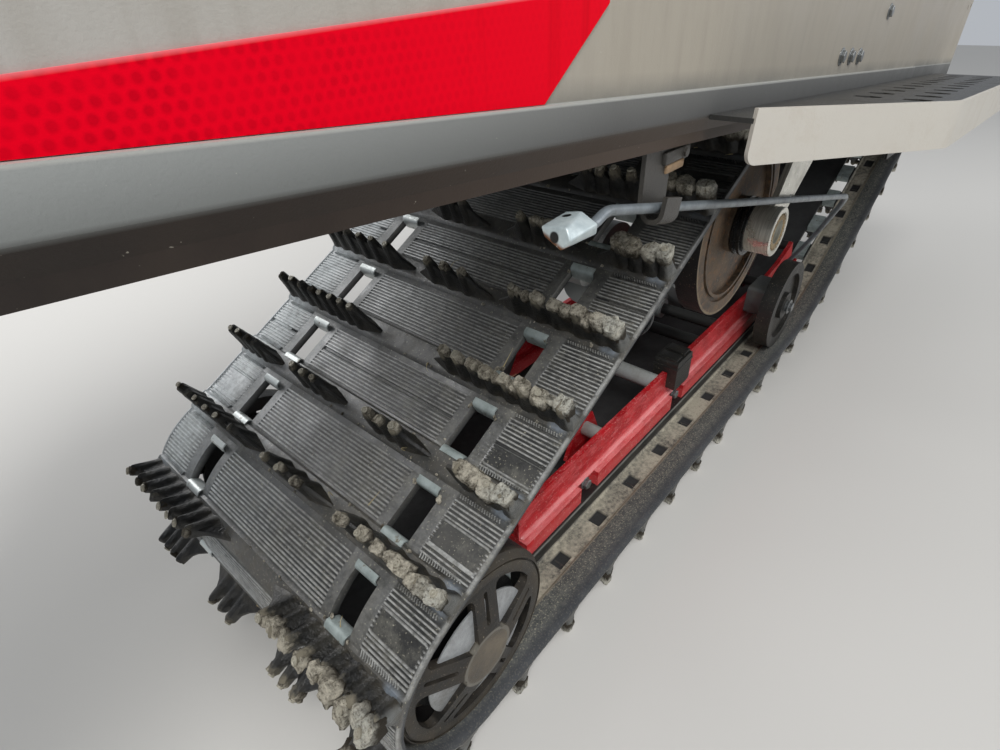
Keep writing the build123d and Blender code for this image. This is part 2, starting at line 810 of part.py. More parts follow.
# Tunnel sides: an upright sheet with an inward flange on top and a bevelled rim along the lower edge
tunnel_front = front_reach
drop_rear = 985.0
drop_run = 60.0
drop_low = 285.0
drop_front_low = 262.0
flange_width = 26.0
front_hole_radius = 4.25
front_hole_inset = 14.0
front_hole_low = 30.0
front_hole_spacing_x = 40.0
front_hole_spacing_z = 200.0
edge_angle = math.atan(edge_fall)
edge_direction = (math.cos(edge_angle), 0, -math.sin(edge_angle))
edge_up = (math.sin(edge_angle), 0, math.cos(edge_angle))


def rise(height):
    """Upright distance over the lower edge of a height that is square to it."""
    return height / math.cos(edge_angle)


def edge_plane(place, y):
    """Plane across the tunnel's lower edge: local X to the left, local Y up, normal forward."""
    return Plane(origin=(along(place), y, edge_z(place)), x_dir=(0, 1, 0), z_dir=edge_direction)


for side, sign in sides:
    with BuildPart() as tunnel_side:
        with BuildSketch(side_plane(outer_y(sign, tunnel_half - tunnel_sheet, tunnel_half))):
            with BuildLine():
                Polyline(
                    (along(tunnel_rear), edge_z(tunnel_rear)),
                    (along(drop_rear), edge_z(drop_rear)),
                    (along(drop_rear + drop_run), drop_low),
                    (along(tunnel_front), drop_front_low),
                    (along(tunnel_front), edge_z(tunnel_front) + rise(tunnel_height)),
                    (along(tunnel_rear), edge_z(tunnel_rear) + rise(tunnel_height)),
                    close=True,
                )
            make_face()
            with Locations((along(drive_place), drive_axle_height)):
                Circle(drive_shaft_radius + bore_gap, mode=Mode.SUBTRACT)
            with Locations((along(front_shaft_place), front_shaft_height)):
                Circle(upper_shaft_radius + bore_gap, mode=Mode.SUBTRACT)
            hole_x = along(tunnel_front) - front_hole_inset - front_hole_spacing_x / 2
            hole_z = drop_front_low + front_hole_low + front_hole_spacing_z / 2
            with Locations((hole_x, hole_z)):
                with GridLocations(front_hole_spacing_x, front_hole_spacing_z, 2, 2):
                    Circle(front_hole_radius, mode=Mode.SUBTRACT)
        extrude(amount=tunnel_sheet)
        with BuildSketch(edge_plane(tunnel_rear, 0)):
            with BuildLine():
                Polyline(
                    (sign * tunnel_half, tunnel_height),
                    (sign * (tunnel_half - flange_width), tunnel_height),
                    (sign * (tunnel_half - flange_width), tunnel_height - tunnel_sheet),
                    (sign * tunnel_half, tunnel_height - tunnel_sheet),
                    close=True,
                )
            make_face()
            with BuildLine():
                outer = tunnel_half + rim_proud
                Polyline(
                    (sign * (tunnel_half - tunnel_sheet), rim_bevel + rim_band),
                    (sign * outer, rim_bevel + rim_band),
                    (sign * outer, rim_bevel),
                    (sign * (tunnel_half - tunnel_sheet), 0),
                    close=True,
                )
            make_face()
        extrude(amount=(drop_rear - tunnel_rear) / math.cos(edge_angle))
    tunnel_side.part.label = f"tunnel_{side}"
    export_step(tunnel_side.part, f"parts/tunnel_{side}.step")

# Tunnel top: a sheet with cooling ribs underneath
rib_count = 7
rib_spacing = 44.0
rib_depth = 8.0
rib_width = 6.0
top_lean = tunnel_height * math.sin(edge_angle)
with BuildPart() as tunnel_top:
    with BuildSketch(edge_plane(tunnel_rear - top_lean, 0)):
        with Locations((0, tunnel_height + tunnel_sheet / 2)):
            Rectangle(2 * tunnel_half, tunnel_sheet)
        with Locations((0, tunnel_height - rib_depth / 2)):
            with GridLocations(rib_spacing, 0, rib_count, 1):
                Rectangle(rib_width, rib_depth)
    extrude(amount=(tunnel_front - tunnel_rear) / math.cos(edge_angle))
tunnel_top.part.label = "tunnel_top"
export_step(tunnel_top.part, "parts/tunnel_top.step")

# Red reflectors on the tunnel's sides, widening forward to a slanted front end
reflector_rear = -190.0
reflector_top = 555.4
reflector_rise = 0.04
reflector_low_front = 50.0
reflector_slant = 48.0
reflector_nose = 39.0
reflector_thickness = 1.0


def reflector_z(place):
    """Height of the reflector's top edge."""
    return reflector_top + reflector_rise * place


for side, sign in sides:
    with BuildPart() as reflector:
        with BuildSketch(side_plane(outer_y(sign, tunnel_half, tunnel_half + reflector_thickness))):
            with BuildLine():
                base = rise(rim_bevel + rim_band) + seat_gap
                reflector_front = reflector_low_front + reflector_slant
                Polyline(
                    (along(reflector_rear), edge_z(reflector_rear) + base),
                    (along(reflector_low_front), edge_z(reflector_low_front) + base),
                    (along(reflector_front), edge_z(reflector_front) + base + reflector_nose),
                    (along(reflector_front), reflector_z(reflector_front)),
                    (along(reflector_rear), reflector_z(reflector_rear)),
                    close=True,
                )
            make_face()
        extrude(amount=reflector_thickness)
    reflector.part.label = f"reflector_{side}"
    export_step(reflector.part, f"parts/reflector_{side}.step")

# Running boards: a pierced sheet in an upright edge strip that follows its outer line
board_rear = 222.0
board_shoulder = 420.0
board_front = 1250.0
board_rear_y = 236.0
board_shoulder_y = 322.0
board_front_y = 340.0
board_corner = 60.0
board_sheet = 3.0
strip_width = 3.0
strip_corner = 8.0
strip_height = 34.0
strip_drop = 11.0
board_lift = 14.0
board_hole_radius = 13.0
board_hole_rows = (12, 2)
board_hole_spacing = (62.0, 40.0)


def board_plane(height):
    """Sloping plane that holds the running boards: local X forward, local Y left."""
    start = Plane(origin=(along(0), 0, edge_z(0)), x_dir=edge_direction, z_dir=edge_up)
    return start.offset(height)


def board_line(sign):
    slope = math.cos(edge_angle)
    FilletPolyline(
        (board_rear / slope, sign * board_rear_y),
        (board_shoulder / slope, sign * board_shoulder_y),
        (board_front / slope, sign * board_front_y),
        radius=board_corner,
    )


for side, sign in sides:
    with BuildPart() as strip:
        with BuildSketch(board_plane(-strip_drop)):
            with BuildLine():
                board_line(sign)
            trace(line_width=strip_width)
        extrude(amount=strip_height)
        fillet(strip.faces().sort_by(Axis.X)[0].edges().sort_by(Axis.Z)[0], strip_corner)
    strip.part.label = f"board_edge_{side}"
    export_step(strip.part, f"parts/board_edge_{side}.step")

board_inner = tunnel_half + rim_proud + seat_gap
for side, sign in sides:
    with BuildPart() as board:
        with BuildSketch(board_plane(board_lift)):
            slope = math.cos(edge_angle)
            with BuildLine():
                Polyline(
                    (board_rear / slope, sign * board_inner),
                    (board_rear / slope, sign * board_rear_y),
                    (board_shoulder / slope, sign * board_shoulder_y),
                    (board_front / slope, sign * board_front_y),
                    (board_front / slope, sign * board_inner),
                    close=True,
                )
            make_face()
            with BuildLine():
                board_line(sign)
            trace(line_width=strip_width + 2 * seat_gap, mode=Mode.SUBTRACT)
        extrude(amount=board_sheet)
        with BuildSketch(board_plane(board_lift)):
            middle = ((board_shoulder + board_front) / 2, sign * (board_inner + board_shoulder_y) / 2)
            with Locations(middle):
                with GridLocations(*board_hole_spacing, *board_hole_rows):
                    RegularPolygon(board_hole_radius, 6)
        extrude(amount=board_sheet, mode=Mode.SUBTRACT)
    board.part.label = f"running_board_{side}"
    export_step(board.part, f"parts/running_board_{side}.step")

# Rear bumper: a bent tube round the back of the tunnel
bumper_radius = 12.7
bumper_place = rear_reach - bumper_radius
bumper_front = -250.0
bumper_over_edge = 120.0
bumper_corner = 70.0
with BuildPart() as rear_bumper:
    bumper_y = tunnel_half + bumper_radius + seat_gap
    bumper_height = edge_z(-bumper_place) + bumper_over_edge
    bumper_front_height = edge_z(bumper_front) + bumper_over_edge
    with BuildLine() as bend:
        FilletPolyline(
            (along(bumper_front), bumper_y, bumper_front_height),
            (along(-bumper_place), bumper_y, bumper_height),
            (along(-bumper_place), -bumper_y, bumper_height),
            (along(bumper_front), -bumper_y, bumper_front_height),
            radius=bumper_corner,
        )
    with BuildSketch(Plane(origin=bend.wires()[0] @ 0, z_dir=bend.wires()[0] % 0)):
        Circle(bumper_radius)
    sweep()
rear_bumper.part.label = "rear_bumper"
export_step(rear_bumper.part, "parts/rear_bumper.step")

# Snow flap hung from the rear edge of the tunnel
flap_inset = 7.0
flap_half = tunnel_half - flap_inset
flap_thickness = 5.0
flap_low = 262.0
flap_reach = 45.0
with BuildPart() as snow_flap:
    with BuildSketch(side_plane(flap_half)):
        with BuildLine():
            flap_top = edge_z(tunnel_rear) + rise(tunnel_height + tunnel_sheet)
            flap_front = along(tunnel_rear) - rib_depth * math.sin(edge_angle) - seat_gap
            top = (flap_front, flap_top)
            low = (flap_front - flap_reach, flap_low)
            middle = (flap_front - flap_reach / 4, (flap_top + flap_low) / 2)
            back = flap_thickness
            ThreePointArc(top, middle, low)
            Line(low, (low[0] - back, low[1]))
            ThreePointArc((low[0] - back, low[1]), (middle[0] - back, middle[1]), (top[0] - back, top[1]))
            Line((top[0] - back, top[1]), top)
        make_face()
    extrude(amount=2 * flap_half)
snow_flap.part.label = "snow_flap"
export_step(snow_flap.part, "parts/snow_flap.step")

# Ice scratchers: a sprung rod from the rail over the bracket's hub, with a block at its rear tip
rod_radius = 5.0
rod_out = 2.0
rod_y = tunnel_half + rod_out
rod_rear_place = 90.0
rod_dip = 5.5
rod_crest_place = 106.0
rod_under_edge = 22.8
rod_over_hub = 4.5
rod_bend_place = 790.0
rod_foot_place = 878.0
rod_foot_height = 132.0
rod_foot_y = 128.0
rod_knee_place = 862.0
rod_knee_height = 190.0
rod_knee_y = 160.0
rod_bend = 30.0
tip_length = 42.0
tip_height = 11.0
tip_width = 25.0
tip_angle = 2.0
tip_lap = 3.0
tip_corner = 4.0
rod_crest_height = edge_z(rod_crest_place) - rod_under_edge
rod_rear_height = rod_crest_height - rod_dip
rod_hub_height = upper_axle_height + bracket_hub_radius + rod_radius + rod_over_hub
rod_fall = (rod_crest_height - rod_hub_height) / (upper_axle_place - rod_crest_place)


def rod_z(place):
    """Height of the rod's straight rear stretch."""
    return rod_crest_height - (place - rod_crest_place) * rod_fall


for side, sign in sides:
    with BuildPart() as scratcher:
        with BuildLine() as route:
            FilletPolyline(
                (along(rod_foot_place), sign * rod_foot_y, rod_foot_height),
                (along(rod_knee_place), sign * rod_knee_y, rod_knee_height),
                (along(rod_bend_place), sign * rod_y, rod_z(rod_bend_place)),
                (along(rod_crest_place), sign * rod_y, rod_crest_height),
                (along(rod_rear_place), sign * rod_y, rod_rear_height),
                radius=rod_bend,
            )
        with BuildSketch(Plane(origin=route.wires()[0] @ 0, z_dir=route.wires()[0] % 0)):
            Circle(rod_radius)
        sweep()
        turn = math.radians(tip_angle)
        tip_plane = Plane(
            origin=(along(rod_rear_place) + tip_lap, sign * rod_y, rod_rear_height),
            x_dir=(0, 1, 0),
            z_dir=(-math.cos(turn), 0, -math.sin(turn)),
        )
        with BuildSketch(tip_plane):
            RectangleRounded(tip_width, tip_height, tip_corner)
        extrude(amount=tip_length)
    scratcher.part.label = f"scratcher_{side}"
    export_step(scratcher.part, f"parts/scratcher_{side}.step")

# Hooks that hold the rods: a strap from inside the rim with an open trough below
hook_place = 174.0
hook_width = 33.0
hook_trough = 22.0
hook_sheet = 3.0
hook_lip = 10.0
hook_sag = 4.0
hook_overlap = 20.0
hook_reach = rod_radius + seat_gap + hook_sheet / 2
hook_far = hook_reach + hook_sheet / 2
rod_angle = math.atan(rod_fall)
for side, sign in sides:
    with BuildPart() as hook:
        rod_plane = Plane(
            origin=(along(hook_place), sign * rod_y, rod_z(hook_place)),
            x_dir=(0, 1, 0),
            z_dir=(math.cos(rod_angle), 0, -math.sin(rod_angle)),
        )
        with BuildSketch(rod_plane.offset(-hook_trough / 2)):
            with Locations((0, -hook_sag)):
                Circle(hook_far)
                Circle(hook_far - hook_sheet, mode=Mode.SUBTRACT)
                Rectangle(3 * hook_far, hook_far, align=(Align.CENTER, Align.MIN), mode=Mode.SUBTRACT)
            with Locations((sign * hook_reach, -hook_sag)):
                Rectangle(hook_sheet, hook_lip, align=(Align.CENTER, Align.MIN))
        extrude(amount=hook_trough)
        with BuildSketch(side_plane(outer_y(sign, rod_y - hook_far, rod_y - hook_far + hook_sheet))):
            with BuildLine():
                rear = hook_place - hook_width / 2
                front = hook_place + hook_width / 2
                Polyline(
                    (along(rear), rod_z(rear) - hook_sag - hook_sheet),
                    (along(front), rod_z(front) - hook_sag - hook_sheet),
                    (along(front), edge_z(front) + hook_overlap),
                    (along(rear), edge_z(rear) + hook_overlap),
                    close=True,
                )
            make_face()
        extrude(amount=hook_sheet)
    hook.part.label = f"scratcher_hook_{side}"
    export_step(hook.part, f"parts/scratcher_hook_{side}.step")
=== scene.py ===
import math
import random

import bmesh
import bpy
import numpy as np
from mathutils import Matrix, Vector, noise

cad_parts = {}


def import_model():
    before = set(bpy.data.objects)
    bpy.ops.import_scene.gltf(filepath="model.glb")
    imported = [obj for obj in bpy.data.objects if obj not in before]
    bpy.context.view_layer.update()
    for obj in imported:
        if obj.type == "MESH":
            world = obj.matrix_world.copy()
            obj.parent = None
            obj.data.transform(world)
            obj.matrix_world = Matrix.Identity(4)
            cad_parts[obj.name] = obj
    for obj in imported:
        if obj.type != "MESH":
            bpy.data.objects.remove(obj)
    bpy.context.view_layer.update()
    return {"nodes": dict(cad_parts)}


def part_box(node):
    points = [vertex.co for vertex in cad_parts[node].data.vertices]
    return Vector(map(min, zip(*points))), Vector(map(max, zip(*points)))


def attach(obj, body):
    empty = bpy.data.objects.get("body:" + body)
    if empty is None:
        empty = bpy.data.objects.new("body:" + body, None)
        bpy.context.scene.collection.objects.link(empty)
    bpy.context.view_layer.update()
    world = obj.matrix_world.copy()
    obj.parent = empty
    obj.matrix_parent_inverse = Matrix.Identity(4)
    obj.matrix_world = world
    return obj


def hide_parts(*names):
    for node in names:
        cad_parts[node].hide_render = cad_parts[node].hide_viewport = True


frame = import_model()
nodes = frame["nodes"]
MM = 0.001


# Materials; colours are display values between 0 and 1
def linear(display):
    """Linear colour from display values."""
    return tuple(c / 12.92 if c <= 0.04045 else ((c + 0.055) / 1.055) ** 2.4 for c in display)


class Shade:
    """A small helper that builds one procedural material on the Principled shader."""

    def __init__(self, name, metallic=0.0, specular=0.5):
        self.material = bpy.data.materials.new(name)
        self.material.use_nodes = True
        self.tree = self.material.node_tree
        self.shader = self.tree.nodes["Principled BSDF"]
        self.shader.inputs["Metallic"].default_value = metallic
        self.shader.inputs["Specular IOR Level"].default_value = specular
        self.place = self.node("TexCoord").outputs["Object"]
        self.bumps = None

    def put(self, value, socket):
        """Links an output to the socket, or sets the socket's number, vector or display colour."""
        if isinstance(value, bpy.types.NodeSocket):
            self.tree.links.new(value, socket)
        else:
            socket.default_value = (*linear(value), 1.0) if socket.type == "RGBA" else value

    def node(self, kind, **inputs):
        """A new node of this kind with its named inputs filled in."""
        node = self.tree.nodes.new("ShaderNode" + kind)
        for name, value in inputs.items():
            self.put(value, node.inputs[name.replace("_", " ")])
        return node

    def noise(self, size, detail=6.0, rough=0.6, stretch=None):
        """Fractal noise whose main features are about this many metres across."""
        place = self.place
        if stretch:
            place = self.node("Mapping", Scale=stretch, Vector=place).outputs["Vector"]
        return self.node("TexNoise", Scale=1.0 / size, Detail=detail, Roughness=rough,
                         Vector=place).outputs["Fac"]

    def ramp(self, source, low, high, start=0.0, end=1.0):
        """Maps source from low..high to start..end, clamped."""
        node = self.node("MapRange", From_Min=low, From_Max=high, To_Min=start, To_Max=end, Value=source)
        return node.outputs["Result"]

    def fade(self, source, low, high):
        """1 up to low, 0 from high on."""
        return self.ramp(source, low, high, 1.0, 0.0)

    def specks(self, size, low, high, share):
        """Fine specks that cover up to this share."""
        return self.ramp(self.noise(size, 2.0), low, high, 0.0, share)

    def math(self, kind, first, second=0.0):
        node = self.node("Math")
        node.operation = kind
        self.put(first, node.inputs[0])
        self.put(second, node.inputs[1])
        return node.outputs["Value"]

    def chain(self, kind, values):
        result = values[0]
        for value in values[1:]:
            result = self.math(kind, result, value)
        return result

    def times(self, *values):
        return self.chain("MULTIPLY", values)

    def plus(self, *values):
        return self.chain("ADD", values)

    def mix(self, share, first, second):
        """Blends two colours, each a tuple or a socket."""
        node = self.node("Mix")
        node.data_type = "RGBA"
        for name, value in (("Factor", share), ("A", first), ("B", second)):
            self.put(value, node.inputs[name])
        return node.outputs["Result"]

    def blend(self, source, low, high, first, second, most=1.0):
        """The first colour up to low, and from high on the second at this share."""
        return self.mix(self.ramp(source, low, high, 0.0, most), first, second)

    def attribute(self, name):
        node = self.node("Attribute")
        node.attribute_name = name
        return node.outputs["Fac"]

    def axis(self, which):
        return self.node("SeparateXYZ", Vector=self.place).outputs[which]

    def aside(self):
        """Distance from the middle plane."""
        return self.math("ABSOLUTE", self.axis("Y"))

    def between(self, kind, first, second):
        """What a vector operation makes of two vectors, as a number."""
        node = self.node("VectorMath")
        node.operation = kind
        self.put(first, node.inputs[0])
        self.put(second, node.inputs[1])
        return node.outputs["Value"]

    def near(self, point):
        """Distance from a point, or from its mirror image on the other side."""
        mirror = self.node("CombineXYZ", X=self.axis("X"), Y=self.aside(), Z=self.axis("Z"))
        return self.between("DISTANCE", mirror.outputs["Vector"], point)

    def reach(self, centre):
        """Distance from a wheel's axis."""
        along = self.math("SUBTRACT", self.axis("X"), centre.x)
        up = self.math("SUBTRACT", self.axis("Z"), centre.z)
        return self.math("SQRT", self.plus(self.times(along, along), self.times(up, up)))

    def band(self, source, low, high, soft):
        """1 between low and high, 0 outside, with soft edges."""
        return self.times(self.ramp(source, low - soft, low + soft),
                          self.fade(source, high - soft, high + soft))

    def honeycomb(self, pitch):
        """Hexagonal cells in the upright plane along the body, 1 inside each and 0 between them."""
        wave = 2 * math.pi / (pitch * math.cos(math.radians(30)))
        waves = []
        for turn in (30.0, 90.0, 150.0):
            facing = math.radians(turn)
            direction = (wave * math.cos(facing), 0.0, wave * math.sin(facing))
            waves.append(self.math("COSINE", self.between("DOT_PRODUCT", self.place, direction)))
        return self.ramp(self.plus(*waves), -1.1, 1.4)

    def colour(self, value):
        self.put(value, self.shader.inputs["Base Color"])

    def rough(self, value):
        self.put(value, self.shader.inputs["Roughness"])

    def bump(self, height, distance):
        node = self.node("Bump", Strength=1.0, Distance=distance, Height=height)
        if self.bumps:
            self.put(self.bumps, node.inputs["Normal"])
        self.bumps = node.outputs["Normal"]
        self.put(self.bumps, self.shader.inputs["Normal"])


def centre_of(name):
    low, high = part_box(name)
    return (low + high) / 2


def dusted(name, base, dust, base_rough=0.5, dust_rough=0.9, metallic=0.0, cover=(0.45, 0.7), grain=0.0004,
           specks=0.0, painted_shade_from=None):
    """A broken layer of dust with some bright specks, darkened with painted shade from painted_shade_from
    forward.
    """
    shade = Shade(name, metallic=metallic)
    patches = shade.noise(0.045, 8.0, 0.65)
    fine = shade.noise(0.004, 4.0, 0.7)
    share = shade.ramp(shade.plus(shade.times(patches, 0.7), shade.times(fine, 0.3)), cover[0], cover[1])
    tone = shade.mix(share, base, dust)
    if specks:
        tone = shade.mix(shade.specks(0.002, 0.66, 0.72, specks), tone, (0.58, 0.54, 0.47))
    if painted_shade_from is not None:
        # Painted shade: darker from this place forward.
        tone = shade.blend(shade.axis("X"), painted_shade_from - 0.02, painted_shade_from + 0.02, tone, (0.09, 0.088, 0.082), 0.9)
    shade.colour(tone)
    shade.rough(shade.ramp(share, 0.0, 1.0, base_rough, dust_rough))
    shade.bump(shade.noise(0.0015, 5.0), grain)
    return shade.material


def belt_rubber():
    """Ribbed rubber: worn rib crowns with a painted highlight, dusty bars, a dusty inner side, painted sheen
    and reflection, and painted shade in the pockets, on the bank's outer edge, beside the slides and under
    the tunnel.
    """
    shade = Shade("belt_rubber", specular=1.0)
    inside = shade.attribute("inside")
    bar = shade.attribute("bar")
    # Lighter towards the left side: painted sheen that stands in for sky reflected off the rubber; it
    # lightens valleys, crowns and scuffs.
    left = shade.ramp(shade.axis("Y"), -0.02, 0.15)
    patches = shade.noise(0.05, 9.0, 0.65)
    fine = shade.noise(0.006, 6.0, 0.7)
    specks = shade.noise(0.0019, 2.0)
    valley = shade.mix(left, (0.145, 0.145, 0.14), (0.44, 0.45, 0.45))
    valley = shade.blend(patches, 0.46, 0.75, valley, (0.30, 0.285, 0.25), 0.75)
    # Rib crowns lighter than the valleys: partly wear, partly a painted highlight on the rib tops.
    crown = shade.mix(left, (0.66, 0.66, 0.645), (0.88, 0.895, 0.895))
    outer = shade.mix(shade.times(shade.attribute("crown"), shade.ramp(fine, 0.35, 0.6, 0.3, 1.0)), valley,
                      crown)
    outer = shade.mix(shade.times(bar, shade.ramp(fine, 0.38, 0.62, 0.0, 0.85)), outer, (0.27, 0.25, 0.21))
    scuffs = shade.times(shade.ramp(shade.noise(0.02, 9.0, 0.75), 0.50, 0.68, 0.0, 0.55),
                         shade.ramp(bar, 0.0, 1.0, 1.0, 0.5))
    outer = shade.mix(scuffs, outer, shade.mix(left, (0.47, 0.46, 0.42), (0.60, 0.60, 0.58)))
    sheen = shade.times(bar, shade.band(shade.aside(), 0.171, 0.1855, 0.003),
                        shade.ramp(fine, 0.3, 0.55, 0.2, 1.0))
    outer = shade.mix(sheen, outer, (0.44, 0.47, 0.50))
    outer = shade.blend(specks, 0.64, 0.71, outer, (0.66, 0.64, 0.57), 0.8)
    blotches = shade.plus(shade.times(fine, 0.5), shade.times(patches, 0.5))
    recess = shade.blend(blotches, 0.38, 0.55, (0.27, 0.26, 0.23), (0.65, 0.62, 0.55))
    bank = shade.blend(fine, 0.40, 0.68, (0.21, 0.22, 0.215), (0.36, 0.36, 0.335))
    # Bluish dark outer edge of the bank: painted shade on the rounded edge that faces down.
    bank = shade.blend(shade.aside(), 0.176, 0.184, bank, (0.15, 0.16, 0.18), 0.85)
    inner = shade.blend(shade.aside(), 0.1565, 0.1600, recess, bank)
    inner = shade.mix(shade.band(shade.aside(), 0.1560, 0.1592, 0.001), inner, (0.50, 0.47, 0.40))
    grit = shade.times(shade.ramp(specks, 0.55, 0.64, 0.0, 0.75),
                       shade.ramp(shade.aside(), 0.174, 0.182, 1.0, 0.2))
    inner = shade.mix(grit, inner, (0.57, 0.55, 0.48))
    # Near black inward of the slides' edge: painted shade on the belt's inner side beside the slides.
    inner = shade.mix(shade.fade(shade.aside(), 0.127, 0.129), inner, (0.06, 0.06, 0.06))
    # Near black pockets: painted shade in the recessed pockets.
    inner = shade.mix(shade.attribute("pocket"), inner, (0.05, 0.05, 0.05))
    # Near black towards the front of the upper run: painted shade under the tunnel.
    under = shade.times(shade.ramp(shade.axis("X"), -0.38, -0.13, 0.0, 0.85),
                        shade.ramp(shade.axis("Z"), 0.33, 0.38))
    outer = shade.mix(under, outer, (0.05, 0.05, 0.05))
    # Near white at the far left edge of the loop's upper part: a painted reflection of the sky.
    far = shade.times(shade.ramp(shade.axis("Y"), 0.135, 0.16), shade.ramp(shade.axis("Z"), 0.16, 0.22),
                      shade.ramp(fine, 0.3, 0.6, 0.3, 0.9))
    outer = shade.mix(far, outer, (0.90, 0.92, 0.92))
    shade.colour(shade.mix(inside, outer, inner))
    dull = shade.plus(shade.ramp(patches, 0.35, 0.75, 0.0, 0.4), shade.times(inside, 0.4))
    shade.rough(shade.plus(dull, 0.34))
    shade.bump(shade.noise(0.0012, 4.0), 0.00025)
    shade.bump(shade.noise(0.014, 5.0), 0.0007)
    return shade.material


def lug_rubber():
    """Rubber lugs with dried mud down from their tips, more of it towards the right side."""
    shade = Shade("lug_rubber", specular=0.55)
    height = shade.attribute("height")
    side = shade.ramp(shade.axis("Y"), -0.19, 0.10, 0.30, -0.12)
    breakup = shade.noise(0.009, 7.0, 0.7)
    level = shade.plus(height, side, breakup)
    share = shade.ramp(level, 1.30, 1.52)
    dark = shade.blend(shade.noise(0.02, 6.0), 0.42, 0.72, (0.075, 0.075, 0.072), (0.21, 0.20, 0.175))
    flank = shade.times(shade.ramp(shade.aside(), 0.1855, 0.1885),
                        shade.ramp(breakup, 0.35, 0.6, 0.35, 1.0))
    dark = shade.mix(flank, dark, (0.37, 0.375, 0.365))
    root = shade.times(shade.fade(height, 0.0, 0.3), shade.ramp(breakup, 0.4, 0.6))
    dark = shade.mix(root, dark, (0.27, 0.25, 0.21))
    shade.colour(shade.mix(share, dark, (0.46, 0.435, 0.375)))
    shade.rough(shade.ramp(share, 0.0, 1.0, 0.42, 0.92))
    shade.bump(shade.noise(0.003, 5.0), 0.0010)
    shade.bump(share, 0.0005)
    return shade.material


def dried_mud():
    """Pale mud in lumps, darker and browner towards the belt and in its bumped hollows as painted shade, and
    darker towards the left side.
    """
    shade = Shade("dried_mud", specular=0.2)
    coarse = shade.noise(0.011, 8.0, 0.72)
    grit = shade.noise(0.0024, 6.0, 0.75)
    tone = shade.plus(shade.times(coarse, 0.6), shade.times(grit, 0.4))
    pale = shade.blend(tone, 0.42, 0.57, (0.34, 0.315, 0.27), (0.80, 0.77, 0.70))
    edge = shade.times(shade.ramp(shade.axis("Y"), -0.180, -0.165, 0.7, 0.0), shade.ramp(grit, 0.35, 0.6))
    pale = shade.mix(edge, pale, (0.84, 0.84, 0.80))
    # Darker and browner low on the lumps and in the hollows of the bump: painted shade.
    low = shade.plus(shade.attribute("height"), shade.times(coarse, 0.5))
    side = shade.ramp(shade.axis("Y"), -0.10, 0.10, 0.0, 0.35)
    dark = shade.fade(shade.math("SUBTRACT", low, side), 0.85, 1.12)
    shade.colour(shade.mix(dark, pale, (0.235, 0.215, 0.185)))
    shade.rough(0.93)
    shade.bump(grit, 0.0022)
    shade.bump(coarse, 0.0030)
    return shade.material


def zinc_sheet():
    """Galvanized steel with a dull bloom, a little rust and mud, and painted light that makes it lighter on
    the left side.
    """
    shade = Shade("zinc_sheet", metallic=0.35)
    bloom = shade.noise(0.012, 6.0)
    base = shade.blend(bloom, 0.35, 0.7, (0.72, 0.76, 0.75), (0.54, 0.58, 0.57))
    # Lighter on the left side: painted light.
    base = shade.blend(shade.axis("Y"), 0.0, 0.1, base, (0.86, 0.88, 0.87))
    rust = shade.ramp(shade.noise(0.008, 7.0, 0.72), 0.64, 0.72)
    base = shade.mix(rust, base, (0.40, 0.30, 0.22))
    mud = shade.ramp(shade.noise(0.010, 8.0, 0.7, stretch=(1.0, 1.3, 1.0)), 0.60, 0.66)
    shade.colour(shade.mix(mud, base, (0.47, 0.44, 0.37)))
    shade.rough(shade.ramp(bloom, 0.3, 0.7, 0.28, 0.5))
    shade.bump(shade.noise(0.002, 4.0), 0.0002)
    return shade.material


EDGE_FALL = 0.0889
EDGE_LEVEL = 446.7 * MM
BEVEL_TOP = 15.5 * MM
BAND_TOP = 32.2 * MM
DROP_REAR = 498.0 * MM


